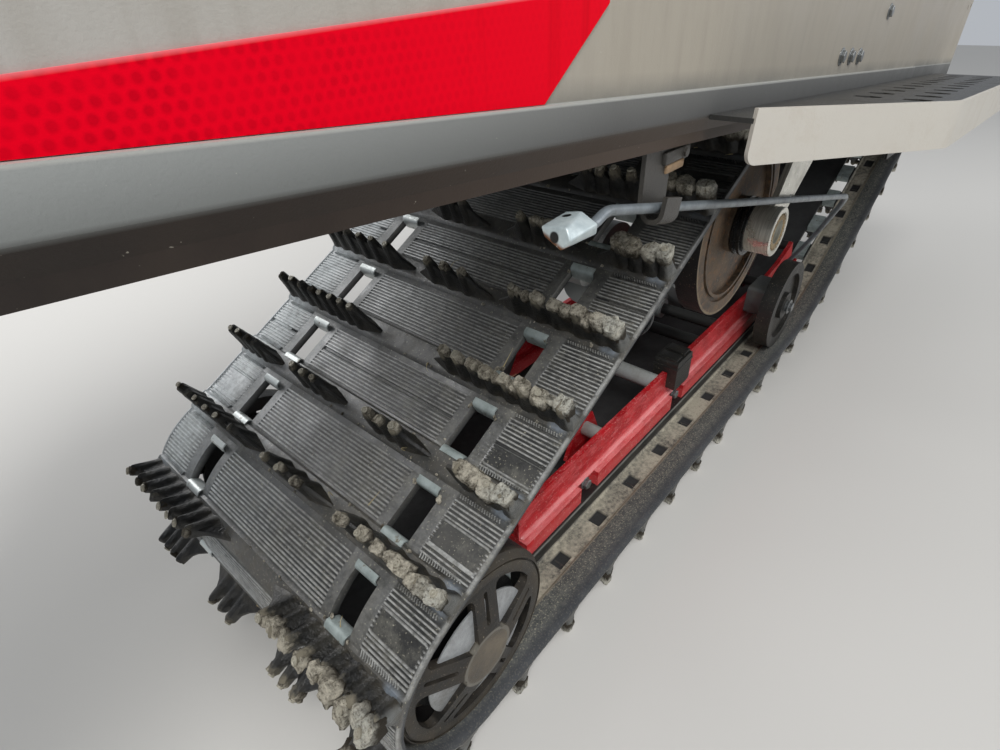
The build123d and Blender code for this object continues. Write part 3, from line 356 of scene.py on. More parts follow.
def tunnel_paint():
    """Warm grey panel, a satin band and a bevel below it, with painted light: lighter towards the rear and
    the top, a painted highlight on the band and along its top edge, and painted shade on the bevel.
    """
    shade = Shade("tunnel_paint", specular=0.35)
    along = shade.axis("X")
    lift = shade.math("SUBTRACT", shade.plus(shade.axis("Z"), shade.times(along, EDGE_FALL)), EDGE_LEVEL)
    patches = shade.noise(0.09, 6.0)
    streaks = shade.noise(0.010, 5.0, stretch=(1.0, 1.0, 0.16))
    # rear: share of the painted light that makes panel and band lighter and bluer towards the rear.
    rear = shade.fade(along, -0.66, -0.38)
    panel = shade.mix(rear, (0.625, 0.595, 0.54), (0.66, 0.65, 0.63))
    # Lighter higher up on the panel: painted light.
    panel = shade.blend(lift, 0.070, 0.11, panel, shade.mix(rear, (0.64, 0.61, 0.56), (0.765, 0.73, 0.715)))
    panel = shade.blend(streaks, 0.45, 0.8, panel, (0.52, 0.49, 0.44), 0.35)
    foot = shade.times(shade.fade(lift, BAND_TOP, 0.043), shade.ramp(patches, 0.3, 0.6, 0.3, 1.0))
    panel = shade.mix(foot, panel, (0.46, 0.45, 0.42))
    # Band lighter towards its top and towards the rear: painted highlight on the rolled edge.
    low = shade.mix(rear, (0.28, 0.28, 0.275), (0.45, 0.46, 0.45))
    high = shade.mix(rear, (0.385, 0.385, 0.375), (0.57, 0.58, 0.57))
    band = shade.blend(lift, BEVEL_TOP, 0.030, low, high)
    # Bright line along the band's top edge: painted highlight.
    band = shade.mix(shade.band(lift, 0.0312, 0.0330, 0.0004), band, (0.64, 0.64, 0.62))
    # Dark brown to near black bevel, darker forward: painted shade on the bevel that faces the ground, with
    # some brown patches.
    bevel = shade.mix(rear, (0.22, 0.165, 0.12), (0.075, 0.055, 0.05))
    bevel = shade.blend(patches, 0.45, 0.7, bevel, (0.27, 0.225, 0.185), 0.3)
    face = shade.blend(lift, BAND_TOP, BAND_TOP + 0.0004, band, panel)
    edge = shade.times(shade.fade(lift, BEVEL_TOP - 0.0015, BEVEL_TOP + 0.0015),
                       shade.fade(along, DROP_REAR, 0.51))
    face = shade.mix(edge, face, bevel)
    face = shade.mix(shade.specks(0.0022, 0.74, 0.78, 0.45), face, (0.74, 0.72, 0.66))
    shade.colour(shade.blend(shade.aside(), 0.2018, 0.2026, (0.11, 0.105, 0.10), face))
    shade.rough(shade.ramp(patches, 0.3, 0.7, 0.36, 0.55))
    shade.bump(shade.noise(0.0012, 3.0), 0.00012)
    return shade.material


def reflector_tape():
    """Red prismatic tape: a honeycomb that fades forward, upright shades and a pale top edge."""
    shade = Shade("reflector_tape", specular=0.03)
    along = shade.axis("X")
    uneven = shade.ramp(shade.noise(0.011, 3.0), 0.35, 0.65, 0.35, 1.0)
    dots = shade.times(shade.honeycomb(4.1 * MM), uneven, shade.ramp(along, -0.60, -0.46, 0.8, 0.1))
    stripes = shade.noise(0.010, 3.0, stretch=(1.0, 1.0, 0.03))
    stripes = shade.times(shade.ramp(stripes, 0.52, 0.68), shade.ramp(along, -0.56, -0.46, 0.0, 0.5))
    red = shade.mix(dots, (0.885, 0.0, 0.115), (0.73, 0.0, 0.095))
    red = shade.mix(stripes, red, (0.78, 0.0, 0.08))
    top = shade.math("SUBTRACT", shade.axis("Z"), shade.times(along, 0.04))
    shade.colour(shade.blend(top, 0.5736, 0.5752, red, (0.92, 0.48, 0.50)))
    shade.rough(0.55)
    shade.bump(dots, 0.0001)
    return shade.material


def rail_paint():
    """Satin red with a scuffed, paler foot, fine dust and a painted highlight along the ridge at the web's
    foot.
    """
    shade = Shade("rail_paint", specular=0.5)
    scuffs = shade.noise(0.006, 7.0, 0.7, stretch=(0.25, 1.0, 1.0))
    dust = shade.noise(0.0022, 3.0)
    red = shade.blend(shade.noise(0.03, 6.0), 0.35, 0.7, (0.62, 0.04, 0.08), (0.79, 0.12, 0.15))
    red = shade.blend(scuffs, 0.50, 0.66, red, (0.84, 0.38, 0.39), 0.65)
    # Pale line along the ridge at the web's foot: painted highlight.
    ridge = shade.times(shade.band(shade.axis("Z"), 0.0825, 0.0880, 0.0008),
                        shade.ramp(shade.aside(), 0.1155, 0.117))
    red = shade.mix(shade.times(ridge, shade.ramp(scuffs, 0.3, 0.55, 0.4, 0.95)), red, (0.88, 0.52, 0.52))
    foot = shade.ramp(shade.axis("Z"), 0.079, 0.072, 0.0, 0.7)
    red = shade.mix(foot, red, (0.80, 0.31, 0.31))
    shade.colour(shade.blend(dust, 0.59, 0.67, red, (0.84, 0.60, 0.57), 0.75))
    shade.rough(shade.ramp(scuffs, 0.4, 0.7, 0.30, 0.55))
    shade.bump(scuffs, 0.0002)
    return shade.material


def slide_plastic():
    """Black slide with a worn, pale line along its outer top edge."""
    shade = Shade("slide_plastic", specular=0.5)
    worn = shade.noise(0.008, 6.0, stretch=(0.3, 1.0, 1.0))
    base = shade.blend(worn, 0.45, 0.7, (0.09, 0.09, 0.09), (0.19, 0.185, 0.17))
    line = shade.times(shade.band(shade.axis("Z"), 0.0560, 0.0600, 0.0008),
                       shade.ramp(shade.aside(), 0.1270, 0.1282))
    base = shade.mix(shade.times(line, shade.ramp(worn, 0.3, 0.55, 0.4, 1.0)), base, (0.50, 0.50, 0.48))
    shade.colour(shade.mix(shade.specks(0.002, 0.66, 0.72, 0.5), base, (0.5, 0.47, 0.4)))
    shade.rough(0.5)
    shade.bump(worn, 0.0003)
    return shade.material


def rear_wheel_plastic():
    """Dusty black web and tread with a brown closed cap, near black inward of the face as painted shade."""
    shade = Shade("rear_wheel_plastic", specular=0.45)
    reach = shade.reach(centre_of("rear_wheel_right"))
    aside = shade.aside()
    patches = shade.noise(0.03, 8.0, 0.68)
    fine = shade.noise(0.003, 5.0, 0.7)
    web = shade.blend(patches, 0.42, 0.68, (0.095, 0.088, 0.078), (0.225, 0.20, 0.165))
    rim = shade.times(shade.ramp(reach, 0.068, 0.074), shade.ramp(patches, 0.35, 0.6, 0.2, 0.8))
    web = shade.mix(rim, web, (0.25, 0.225, 0.185))
    cap = shade.blend(patches, 0.40, 0.65, (0.27, 0.245, 0.21), (0.42, 0.385, 0.33))
    ring = shade.band(reach, 0.0235, 0.0265, 0.0006)
    cap = shade.mix(ring, cap, (0.40, 0.385, 0.35))
    web = shade.mix(shade.times(shade.fade(reach, 0.0262, 0.0272), shade.ramp(aside, 0.184, 0.187)), web,
                    cap)
    web = shade.mix(shade.specks(0.0019, 0.66, 0.72, 0.65), web, (0.55, 0.51, 0.44))
    # Near black inward of the wheel's face: painted shade inside the windows and behind the web.
    behind = shade.fade(aside, 0.1685, 0.1725)
    shade.colour(shade.mix(behind, web, (0.06, 0.06, 0.058)))
    shade.rough(shade.ramp(patches, 0.35, 0.7, 0.42, 0.8))
    shade.bump(fine, 0.0004)
    return shade.material


def upper_wheel_plastic():
    """Brown, rust-stained disc, black at its tread."""
    shade = Shade("upper_wheel_plastic", specular=0.4)
    reach = shade.reach(centre_of("upper_wheel_right"))
    patches = shade.noise(0.022, 9.0, 0.7)
    streaks = shade.noise(0.006, 6.0, 0.7)
    tone = shade.blend(patches, 0.36, 0.62, (0.17, 0.135, 0.105), (0.42, 0.35, 0.275))
    tone = shade.blend(streaks, 0.54, 0.66, tone, (0.52, 0.36, 0.23), 0.75)
    rim = shade.times(shade.band(reach, 0.0985, 0.1010, 0.0006), shade.ramp(streaks, 0.35, 0.6, 0.3, 1.0))
    tone = shade.mix(rim, tone, (0.52, 0.45, 0.35))
    tone = shade.blend(reach, 0.1011, 0.1014, tone, (0.07, 0.07, 0.07))
    shade.colour(shade.mix(shade.specks(0.0022, 0.66, 0.72, 0.7), tone, (0.56, 0.50, 0.40)))
    shade.rough(shade.ramp(patches, 0.3, 0.7, 0.42, 0.75))
    shade.bump(streaks, 0.0004)
    return shade.material


TIP_START = -403.0 * MM


def scratcher_steel():
    """Grey spring rod with a pale zinc tip that rusts at its end."""
    shade = Shade("scratcher_steel", metallic=0.3, specular=0.5)
    along = shade.axis("X")
    bloom = shade.noise(0.012, 6.0)
    rod = shade.blend(bloom, 0.35, 0.7, (0.50, 0.53, 0.55), (0.40, 0.42, 0.43))
    zinc = shade.blend(bloom, 0.35, 0.65, (0.84, 0.88, 0.88), (0.70, 0.75, 0.76))
    lower = shade.plus(shade.axis("Z"), shade.times(shade.aside(), 0.385))
    rust = shade.times(shade.fade(along, -0.4260, -0.4235), shade.fade(lower, 0.5325, 0.5345),
                       shade.ramp(shade.noise(0.006, 7.0), 0.36, 0.44))
    zinc = shade.mix(rust, zinc, (0.52, 0.33, 0.19))
    for place, reach in (((-0.4300, 0.2055, 0.4562), 2.6 * MM), ((-0.4125, 0.2005, 0.4612), 2.2 * MM)):
        zinc = shade.mix(shade.fade(shade.near(place), reach, reach * 1.3), zinc, (0.07, 0.06, 0.055))
    shade.colour(shade.mix(shade.fade(along, TIP_START - MM, TIP_START + MM), rod, zinc))
    shade.rough(shade.ramp(bloom, 0.3, 0.7, 0.26, 0.45))
    shade.bump(shade.noise(0.003, 4.0), 0.0002)
    return shade.material


def bracket_metal():
    """Turned aluminium with fine rings, dust and a stain."""
    shade = Shade("bracket_metal", metallic=0.8, specular=0.5)
    rings = shade.noise(0.0016, 3.0, stretch=(0.05, 1.0, 0.05))
    dust = shade.noise(0.02, 7.0)
    tone = shade.blend(rings, 0.4, 0.6, (0.78, 0.77, 0.73), (0.90, 0.89, 0.85))
    shade.colour(shade.blend(dust, 0.66, 0.80, tone, (0.50, 0.47, 0.40)))
    shade.rough(shade.ramp(dust, 0.4, 0.75, 0.24, 0.6))
    return shade.material


materials = {
    "belt": belt_rubber(),
    "lugs": lug_rubber(),
    "mud": dried_mud(),
    "zinc": zinc_sheet(),
    "tunnel": tunnel_paint(),
    "reflector": reflector_tape(),
    "red": rail_paint(),
    "slide": slide_plastic(),
    "rear_wheel": rear_wheel_plastic(),
    "upper_wheel": upper_wheel_plastic(),
    "scratcher": scratcher_steel(),
    "bracket": bracket_metal(),
    "rubber": dusted("rubber", (0.13, 0.13, 0.125), (0.44, 0.41, 0.35), 0.6, 0.9, cover=(0.52, 0.9),
                     specks=0.5),
    "boot": dusted("boot_rubber", (0.05, 0.05, 0.05), (0.16, 0.155, 0.14), 0.26, 0.5, cover=(0.5, 0.9)),
    "plastic": dusted("black_plastic", (0.12, 0.118, 0.11), (0.27, 0.25, 0.215), 0.45, 0.85,
                      cover=(0.45, 0.8), specks=0.6),
    "dark": dusted("dark_paint", (0.17, 0.168, 0.16), (0.28, 0.265, 0.235), 0.4, 0.7, cover=(0.5, 0.85)),
    "hook": dusted("hook_paint", (0.20, 0.19, 0.175), (0.31, 0.29, 0.255), 0.32, 0.6, cover=(0.5, 0.85)),
    "block": dusted("block_grey", (0.37, 0.38, 0.38), (0.48, 0.46, 0.41), 0.45, 0.7, cover=(0.5, 0.85)),
    "metal": dusted("bare_metal", (0.66, 0.67, 0.66), (0.50, 0.47, 0.41), 0.3, 0.7, 0.35,
                    cover=(0.5, 0.85)),
    # The shafts take painted shade from just ahead of the middle forward.
    "shaft": dusted("shaft_metal", (0.66, 0.67, 0.66), (0.50, 0.47, 0.41), 0.3, 0.7, cover=(0.5, 0.85),
                    painted_shade_from=0.03),
    "bolt": dusted("bolt_steel", (0.50, 0.51, 0.51), (0.36, 0.31, 0.25), 0.3, 0.7, 0.7, cover=(0.5, 0.8)),
    "white": dusted("pale_end", (0.75, 0.73, 0.69), (0.70, 0.66, 0.60), 0.5, 0.7, cover=(0.5, 0.9),
                    grain=0.0002),
    "tan": dusted("tan_block", (0.60, 0.49, 0.37), (0.44, 0.38, 0.30), 0.6, 0.8),
    "brass": dusted("brass_ring", (0.62, 0.52, 0.34), (0.34, 0.30, 0.24), 0.35, 0.7, 0.8),
    "spring": dusted("spring_paint", (0.10, 0.10, 0.10), (0.25, 0.235, 0.21), 0.3, 0.7, cover=(0.5, 0.85)),
    "satin": dusted("satin_metal", (0.62, 0.63, 0.635), (0.42, 0.415, 0.40), 0.35, 0.6, 0.25,
                    cover=(0.42, 0.70)),
    "stud": dusted("stud_head", (0.66, 0.64, 0.58), (0.42, 0.39, 0.33), 0.45, 0.8, 0.2, cover=(0.45, 0.65)),
    "straw": dusted("straw", (0.74, 0.68, 0.52), (0.60, 0.53, 0.38), 0.8, 0.9),
    "web": dusted("strap_web", (0.15, 0.15, 0.15), (0.30, 0.28, 0.25), 0.8, 0.9, grain=0.0008),
}

# What each node wears, by its name without its side; the rest are plastic
WEARS = {
    "track": "rubber", "snow_flap": "rubber", "limiter_strap": "web", "shaft_boot": "boot",
    "rear_wheel": "rear_wheel", "upper_wheel": "upper_wheel", "rail": "red", "shaft_plates": "red",
    "axle_carriers": "dark", "rear_arm": "dark", "front_arm": "dark", "rear_bumper": "dark",
    "running_board": "dark", "slide": "slide", "side_blocks": "block", "tunnel": "tunnel",
    "tunnel_top": "metal", "board_edge": "white", "reflector": "reflector", "cross_shafts": "shaft",
    "upper_shaft": "metal", "front_arm_shaft": "metal", "drive_axle": "metal", "drive_bearings": "metal",
    "front_shock": "metal", "rear_shock": "metal", "rear_axle": "metal", "drop_bracket": "bracket",
    "scratcher": "scratcher", "scratcher_hook": "hook",
}
for name, node in nodes.items():
    wear = WEARS.get(name.removesuffix("_left").removesuffix("_right"), "plastic")
    for material_slot in node.material_slots:
        material_slot.material = materials[wear]


ORIGIN = -487.0 * MM
SIDES = (1, -1)
SIDE_NAMES = {-1: "right", 1: "left"}


def along(place):
    """X in the row frame of a place measured forward from the rear axle, in millimetres."""
    return ORIGIN + place * MM


def spot(place, side, y, z):
    """A point at this place, distance from the middle and height, in millimetres."""
    return (along(place), side * y * MM, z * MM)


def mm(*values):
    return tuple(value * MM for value in values)


def linked(name, data):
    """A new object of the scene."""
    made = bpy.data.objects.new(name, data)
    bpy.context.scene.collection.objects.link(made)
    return made


# The belt's loop, from the wheels that it runs on
PITCH = 76.2 * MM
PITCH_COUNT = 43
LOOP = PITCH * PITCH_COUNT
BELT = 8.0 * MM
HALF_WIDTH = 190.5 * MM
LUG_TIP = 40.0 * MM
COLUMN = 113.6 * MM
WINDOW_HALF = 12.7 * MM
WINDOW_END = 0.54
LUG_PLACE = 0.71
SEAM_ROW = 21


def belt_rounds():
    """Centre x, centre z and radius of the four rounds, in the order that the belt meets them."""
    rear = centre_of("rear_axle")
    upper = centre_of("upper_shaft")
    drive = centre_of("drive_wheels")
    bend_place = 805.0 * MM
    bend_radius = 400.0 * MM
    belt_floor = LUG_TIP
    return [
        (rear.x, rear.z, 85.0 * MM),
        (rear.x + bend_place, belt_floor + bend_radius, bend_radius),
        (drive.x, drive.z, 93.0 * MM),
        (upper.x, upper.z, 102.0 * MM),
    ]


def belt_stretches():
    """Arcs and straight runs of the belt's middle line, as start, length, kind and what places them."""
    rounds = belt_rounds()
    count = len(rounds)
    angles = []
    for i in range(count):
        first, second = rounds[i], rounds[(i + 1) % count]
        dx, dz = second[0] - first[0], second[1] - first[1]
        angles.append(math.atan2(dz, dx) - math.asin((second[2] - first[2]) / math.hypot(dx, dz)))
    stretches = []
    travel = 0.0
    for i in range(count):
        x, z, radius = rounds[i]
        after = rounds[(i + 1) % count]
        turn_from, angle = angles[i - 1], angles[i]
        turn = (angle - turn_from) % (2 * math.pi)
        length = (radius + BELT / 2) * turn
        stretches.append(("arc", travel, length, x, z, radius, turn_from))
        travel += length
        run = (after[0] - x) * math.cos(angle) + (after[1] - z) * math.sin(angle)
        stretches.append(("run", travel, run, x, z, radius, angle))
        travel += run
    return stretches


STRETCHES = belt_stretches()


def belt_points(travel, depth):
    """x and z at distances along the belt, moved out by depths from its inner face."""
    travel = np.asarray(travel, float) % LOOP
    depth = np.broadcast_to(np.asarray(depth, float), travel.shape)
    x = np.zeros(travel.shape)
    z = np.zeros(travel.shape)
    for kind, start, length, centre_x, centre_z, radius, angle in STRETCHES:
        here = (travel >= start) & (travel <= start + length + MM)
        beyond = travel - start
        reach = radius + depth
        turned = beyond / (radius + BELT / 2) if kind == "arc" else 0.0
        facing = angle + turned - math.pi / 2
        ahead = 0.0 if kind == "arc" else beyond
        x = np.where(here, centre_x + reach * np.cos(facing) + ahead * math.cos(angle), x)
        z = np.where(here, centre_z + reach * np.sin(facing) + ahead * math.sin(angle), z)
    return x, z


def place_on_belt(points):
    """Points given as travel, y, depth, as places in the row frame."""
    points = np.asarray(points, float)
    x, z = belt_points(points[:, 0], points[:, 2])
    return np.stack([x, points[:, 1], z], 1)


# Meshes
def add_object(name, verts, faces, material, smooth_angle=35.0, attributes=None):
    """A closed mesh with outward normals, smooth but for edges sharper than the angle."""
    mesh = bpy.data.meshes.new(name)
    mesh.from_pydata([tuple(v) for v in verts], [], faces)
    shell = bmesh.new()
    shell.from_mesh(mesh)
    bmesh.ops.recalc_face_normals(shell, faces=shell.faces)
    shell.to_mesh(mesh)
    shell.free()
    mesh.polygons.foreach_set("use_smooth", [True] * len(mesh.polygons))
    mesh.set_sharp_from_angle(angle=math.radians(smooth_angle))
    for key, values in (attributes or {}).items():
        layer = mesh.attributes.new(key, "FLOAT", "POINT")
        layer.data.foreach_set("value", np.asarray(values, np.float32))
    mesh.materials.append(materials[material])
    return linked(name, mesh)


def fitted(made, slot, *replaced):
    """Rides a piece on the body and hides the nodes that it stands for; slot is not used."""
    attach(made, "root")
    if replaced:
        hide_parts(*replaced)
    return made


def rib_profile():
    """Phases and depths of the fine ribs across one pitch, window start at phase 0."""
    rows = []
    rib_count = 14
    rib_from = -0.08
    rib_step = 0.62 / rib_count
    groove, crown = 6.9 * MM, 8.0 * MM
    for i in range(rib_count):
        start = rib_from + i * rib_step
        rows += [(start + 0.008, groove), (start + 0.015, crown), (start + 0.028, crown),
                 (start + 0.035, groove)]
    return rows


BAR_PROFILE = [(0.56, 7.4 * MM), (0.585, 9.6 * MM), (0.62, 10.2 * MM), (0.80, 10.2 * MM), (0.835, 9.4 * MM),
               (0.86, 7.4 * MM)]
GROOVE_PHASE = 0.235
# Distances from the middle of the belt, then what sets the depth there
EDGE_ZONES = [
    (190.5, "edge"), (189.6, "lip"), (188.2, "lip"), (187.4, "margin"), (186.4, "ribs"), (184.0, "field"),
    (141.5, "field"),
    (139.0, "ribs"), (138.0, "margin"), (126.3, "margin"), (100.9, "margin"), (91.0, "margin"),
    (90.0, "ribs"),
]
# First and last phase of the framed blank fields, by side and row
FIELDS = {
    ("right", 0): (0.10, 0.36), ("right", 42): (0.14, 0.42), ("right", 41): (0.24, 0.50),
    ("left", 42): (0.10, 0.46),
    ("right", 37): (0.10, 0.36), ("right", 6): (0.14, 0.42), ("left", 8): (0.10, 0.46),
    ("right", 13): (0.24, 0.50),
    ("left", 20): (0.10, 0.46), ("right", 24): (0.14, 0.42), ("left", 30): (0.10, 0.46),
    ("right", 31): (0.24, 0.50),
}


def belt_lines():
    """Phases of one pitch with the depth of ribs, margin and field at each."""
    lines = [(phase, depth, 7.6 * MM) for phase, depth in rib_profile()]
    lines += [(0.0, 6.9 * MM, 7.6 * MM), (WINDOW_END, 6.9 * MM, 7.6 * MM)]
    lines += [(phase, depth, depth) for phase, depth in BAR_PROFILE]
    return sorted(lines)


def field_depth(side, row, phase):
    """Depth of a framed blank field, or None where the ribs go on."""
    first, last = FIELDS.get((side, row), (1.0, 0.0))
    if phase < first or phase > last:
        return None
    return 8.2 * MM if phase < first + 0.025 or phase > last - 0.025 else 7.1 * MM


INNER_PHASES = [0.0, 0.13, 0.15, 0.40, 0.42, WINDOW_END, 0.70, 0.86]
INNER_ZONES = [
    (190.5, 4.2), (189.7, 2.0), (187.8, 0.6), (184.0, 0.0), (160.5, 0.0), (158.2, 0.7), (156.8, 2.4),
    (155.4, 3.2),
    (152.5, 3.2), (151.0, 3.2), (137.2, 3.2), (135.7, 3.2), (130.5, 3.2), (128.0, 0.0), (126.3, 0.0),
    (100.9, 0.0), (96.0, 0.0),
]
POCKET_DEPTH = 6.3 * MM


def belt_zones(rows):
    """Rows of y, value from the left edge to the right one, in metres."""
    half = [(y * MM, value) for y, value in rows]
    return half + [(-y, value) for y, value in reversed(half)]


def in_column(first, second):
    """True between the two sides of a column of windows."""
    return abs(abs(first + second) / 2 - COLUMN) < 2 * MM


def on_window_side(y):
    """True at either side of a column of windows."""
    return abs(abs(abs(y) - COLUMN) - WINDOW_HALF) < MM / 10


def track_belt():
    """The belt as one closed mesh: ribbed outside, pocketed inside, with two columns of windows."""
    outer_zones = belt_zones(EDGE_ZONES)
    inner_zones = belt_zones([(y, depth * MM) for y, depth in INNER_ZONES])
    outer_lines = [(row, *line) for row in range(PITCH_COUNT) for line in belt_lines()]
    inner_lines = [(row, phase) for row in range(PITCH_COUNT) for phase in INNER_PHASES]
    points, outer, inner = [], {}, {}
    marks = {"inside": [], "crown": [], "bar": [], "pocket": []}

    def keep(point, **values):
        points.append(point)
        for key, column in marks.items():
            column.append(values.get(key, 0.0))

    for i, (row, phase, ribs, margin) in enumerate(outer_lines):
        deep = row % 2 == 1 and abs(phase - GROOVE_PHASE) < 0.018
        bar = 1.0 if 0.575 < phase < 0.84 else 0.35 if 0.55 < phase < 0.87 else 0.0
        for j, (y, zone) in enumerate(outer_zones):
            depth = {"edge": margin - 1.2 * MM, "lip": margin + 0.5 * MM, "margin": margin}.get(zone, ribs)
            if zone == "field":
                depth = field_depth("right" if y < 0 else "left", row, phase) or depth
            if deep and zone in ("ribs", "field"):
                depth = 6.0 * MM
            # crown: share of the rib-top colour, partly wear and partly painted highlight.
            crown = {"edge": 0.3, "lip": 0.8, "margin": 0.25}.get(zone, 1.0 if depth > 7.9 * MM else 0.0)
            outer[i, j] = len(points)
            keep(((row + phase) * PITCH, y, depth), crown=0.06 if bar > 0.5 else crown, bar=bar)
    for i, (row, phase) in enumerate(inner_lines):
        for j, (y, depth) in enumerate(inner_zones):
            pocket = 0.14 < phase < 0.41 and 137 * MM < abs(y) < 151.2 * MM
            inner[i, j] = len(points)
            keep(((row + phase) * PITCH, y, POCKET_DEPTH if pocket else depth), inside=1.0,
                 pocket=float(pocket))

    faces = []
    for lines, zones, index in ((outer_lines, outer_zones, outer), (inner_lines, inner_zones, inner)):
        for i in range(len(lines)):
            k = (i + 1) % len(lines)
            open_here = -0.001 < lines[i][1] < WINDOW_END - 0.001
            for j in range(len(zones) - 1):
                if not (open_here and in_column(zones[j][0], zones[j + 1][0])):
                    faces.append((index[i, j], index[k, j], index[k, j + 1], index[i, j + 1]))

    outer_at = {(row, phase): i for i, (row, phase, ribs, margin) in enumerate(outer_lines)}
    inner_at = {line: i for i, line in enumerate(inner_lines)}

    def wall(outer_j, inner_j, start, end):
        """Upright face along the belt at one y, from one line to another that both sides share."""
        steps_out = (outer_at[end] - outer_at[start]) % len(outer_lines)
        steps_in = (inner_at[end] - inner_at[start]) % len(inner_lines)
        over = [outer[(outer_at[start] + n) % len(outer_lines), outer_j] for n in range(steps_out + 1)]
        under = [inner[(inner_at[start] + n) % len(inner_lines), inner_j] for n in range(steps_in + 1)]
        faces.append(tuple(over + under[::-1]))

    outer_column = [j for j, (y, zone) in enumerate(outer_zones) if on_window_side(y)]
    inner_column = [j for j, (y, depth) in enumerate(inner_zones) if on_window_side(y)]
    for row in range(PITCH_COUNT):
        start, end, after = (row, 0.0), (row, WINDOW_END), ((row + 1) % PITCH_COUNT, 0.0)
        for outer_j, inner_j in ((0, 0), (len(outer_zones) - 1, len(inner_zones) - 1)):
            wall(outer_j, inner_j, start, end)
            wall(outer_j, inner_j, end, after)
        for outer_j, inner_j in zip(outer_column, inner_column):
            wall(outer_j, inner_j, start, end)
        for pair in (0, 2):
            a, b = outer_column[pair:pair + 2]
            c, d = inner_column[pair:pair + 2]
            for line in (start, end):
                i, k = outer_at[line], inner_at[line]
                faces.append((outer[i, a], outer[i, b], inner[k, d], inner[k, c]))

    used = sorted({v for face in faces for v in face})
    renamed = {old: new for new, old in enumerate(used)}
    faces = [tuple(renamed[v] for v in face) for face in faces]
    marks = {key: [column[v] for v in used] for key, column in marks.items()}
    return add_object("track_belt", place_on_belt([points[v] for v in used]), faces, "belt", 30.0, marks)


class Pile:
    """Shapes gathered into one mesh."""

    def __init__(self):
        self.verts = []
        self.faces = []

    def add(self, verts, faces):
        begin = len(self.verts)
        self.verts += [tuple(v) for v in verts]
        self.faces += [tuple(begin + i for i in face) for face in faces]

    def strip(self, columns, closed=False):
        """Joins equally long columns of points into one closed shell, capped at both ends unless closed."""
        long = len(columns[0])
        faces = []
        for n in range(len(columns) if closed else len(columns) - 1):
            a, b = n * long, (n + 1) % len(columns) * long
            faces += [(a + i, a + (i + 1) % long, b + (i + 1) % long, b + i) for i in range(long)]
        if not closed:
            faces.append(tuple(range(long)))
            faces.append(tuple(range((len(columns) - 1) * long, len(columns) * long)))
        self.add([v for column in columns for v in column], faces)

    def turned(self, centre, axis, profile, sides=24, ring=False):
        """A turned shape: each row of the profile is a distance along the axis and a radius."""
        axis = Vector(axis).normalized()
        first = axis.orthogonal().normalized()
        second = axis.cross(first)
        columns = []
        for ahead, radius in profile:
            turns = [2 * math.pi * i / sides for i in range(sides)]
            middle = Vector(centre) + axis * ahead
            columns.append([middle + (first * math.cos(t) + second * math.sin(t)) * radius for t in turns])
        self.strip(columns, closed=ring)

    def tube(self, points, radii, sides=8):
        """A round bar along a line of points, with one radius or one for each point."""
        points = [Vector(p) for p in points]
        radii = radii if isinstance(radii, list) else [radii] * len(points)
        side = None
        columns = []
        for i, point in enumerate(points):
            ahead = (points[min(i + 1, len(points) - 1)] - points[max(i - 1, 0)]).normalized()
            side = ahead.orthogonal() if side is None else side - ahead * side.dot(ahead)
            side.normalize()
            across = ahead.cross(side)
            turns = [2 * math.pi * n / sides for n in range(sides)]
            columns.append([point + (side * math.cos(t) + across * math.sin(t)) * radii[i] for t in turns])
        self.strip(columns)

    def add_shape(self, shape, centre=(0.0, 0.0, 0.0)):
        """Adds a shape that was built at the origin, at the centre, and frees it."""
        shape.verts.index_update()
        self.add([Vector(centre) + v.co for v in shape.verts],
                 [[v.index for v in f.verts] for f in shape.faces])
        shape.free()

    def block(self, centre, size, corner):
        """A block with rounded edges."""
        shape = bmesh.new()
        bmesh.ops.create_cube(shape, size=1.0)
        for vert in shape.verts:
            vert.co = Vector([vert.co[i] * size[i] for i in range(3)])
        bmesh.ops.bevel(shape, geom=list(shape.edges), offset=corner, segments=2, profile=0.5,
                        affect="EDGES")
        self.add_shape(shape, centre)

    def made(self, name, material, smooth_angle=35.0, attributes=None, on_belt=False):
        verts = place_on_belt(self.verts) if on_belt else self.verts
        return add_object(name, verts, self.faces, material, smooth_angle, attributes)


# Lugs: half of each row's fingers, by their distance from the middle of the belt, in groups
FINGER_ROWS = [
    [[0.0, 22.0], [83.0, 107.0, 127.0, 149.0, 168.0, 184.5]],
    [[63.0, 79.0, 95.0, 112.0, 130.0, 147.0, 164.0, 183.5]],
    [[38.0, 54.0, 71.0], [143.0, 157.0, 171.0, 184.5]],
]


def row_groups(kind):
    """Groups of finger places across the whole width, in metres, right to left."""
    groups = []
    for half in FINGER_ROWS[kind]:
        if half[0] == 0.0:
            groups.append([-y for y in reversed(half[1:])] + half)
        else:
            groups.append(list(half))
            groups.append([-y for y in reversed(half)])
    return [[y * MM for y in group] for group in groups]


def lug_rows():
    for row in range(SEAM_ROW, SEAM_ROW + PITCH_COUNT):
        yield row % PITCH_COUNT, row % len(FINGER_ROWS)


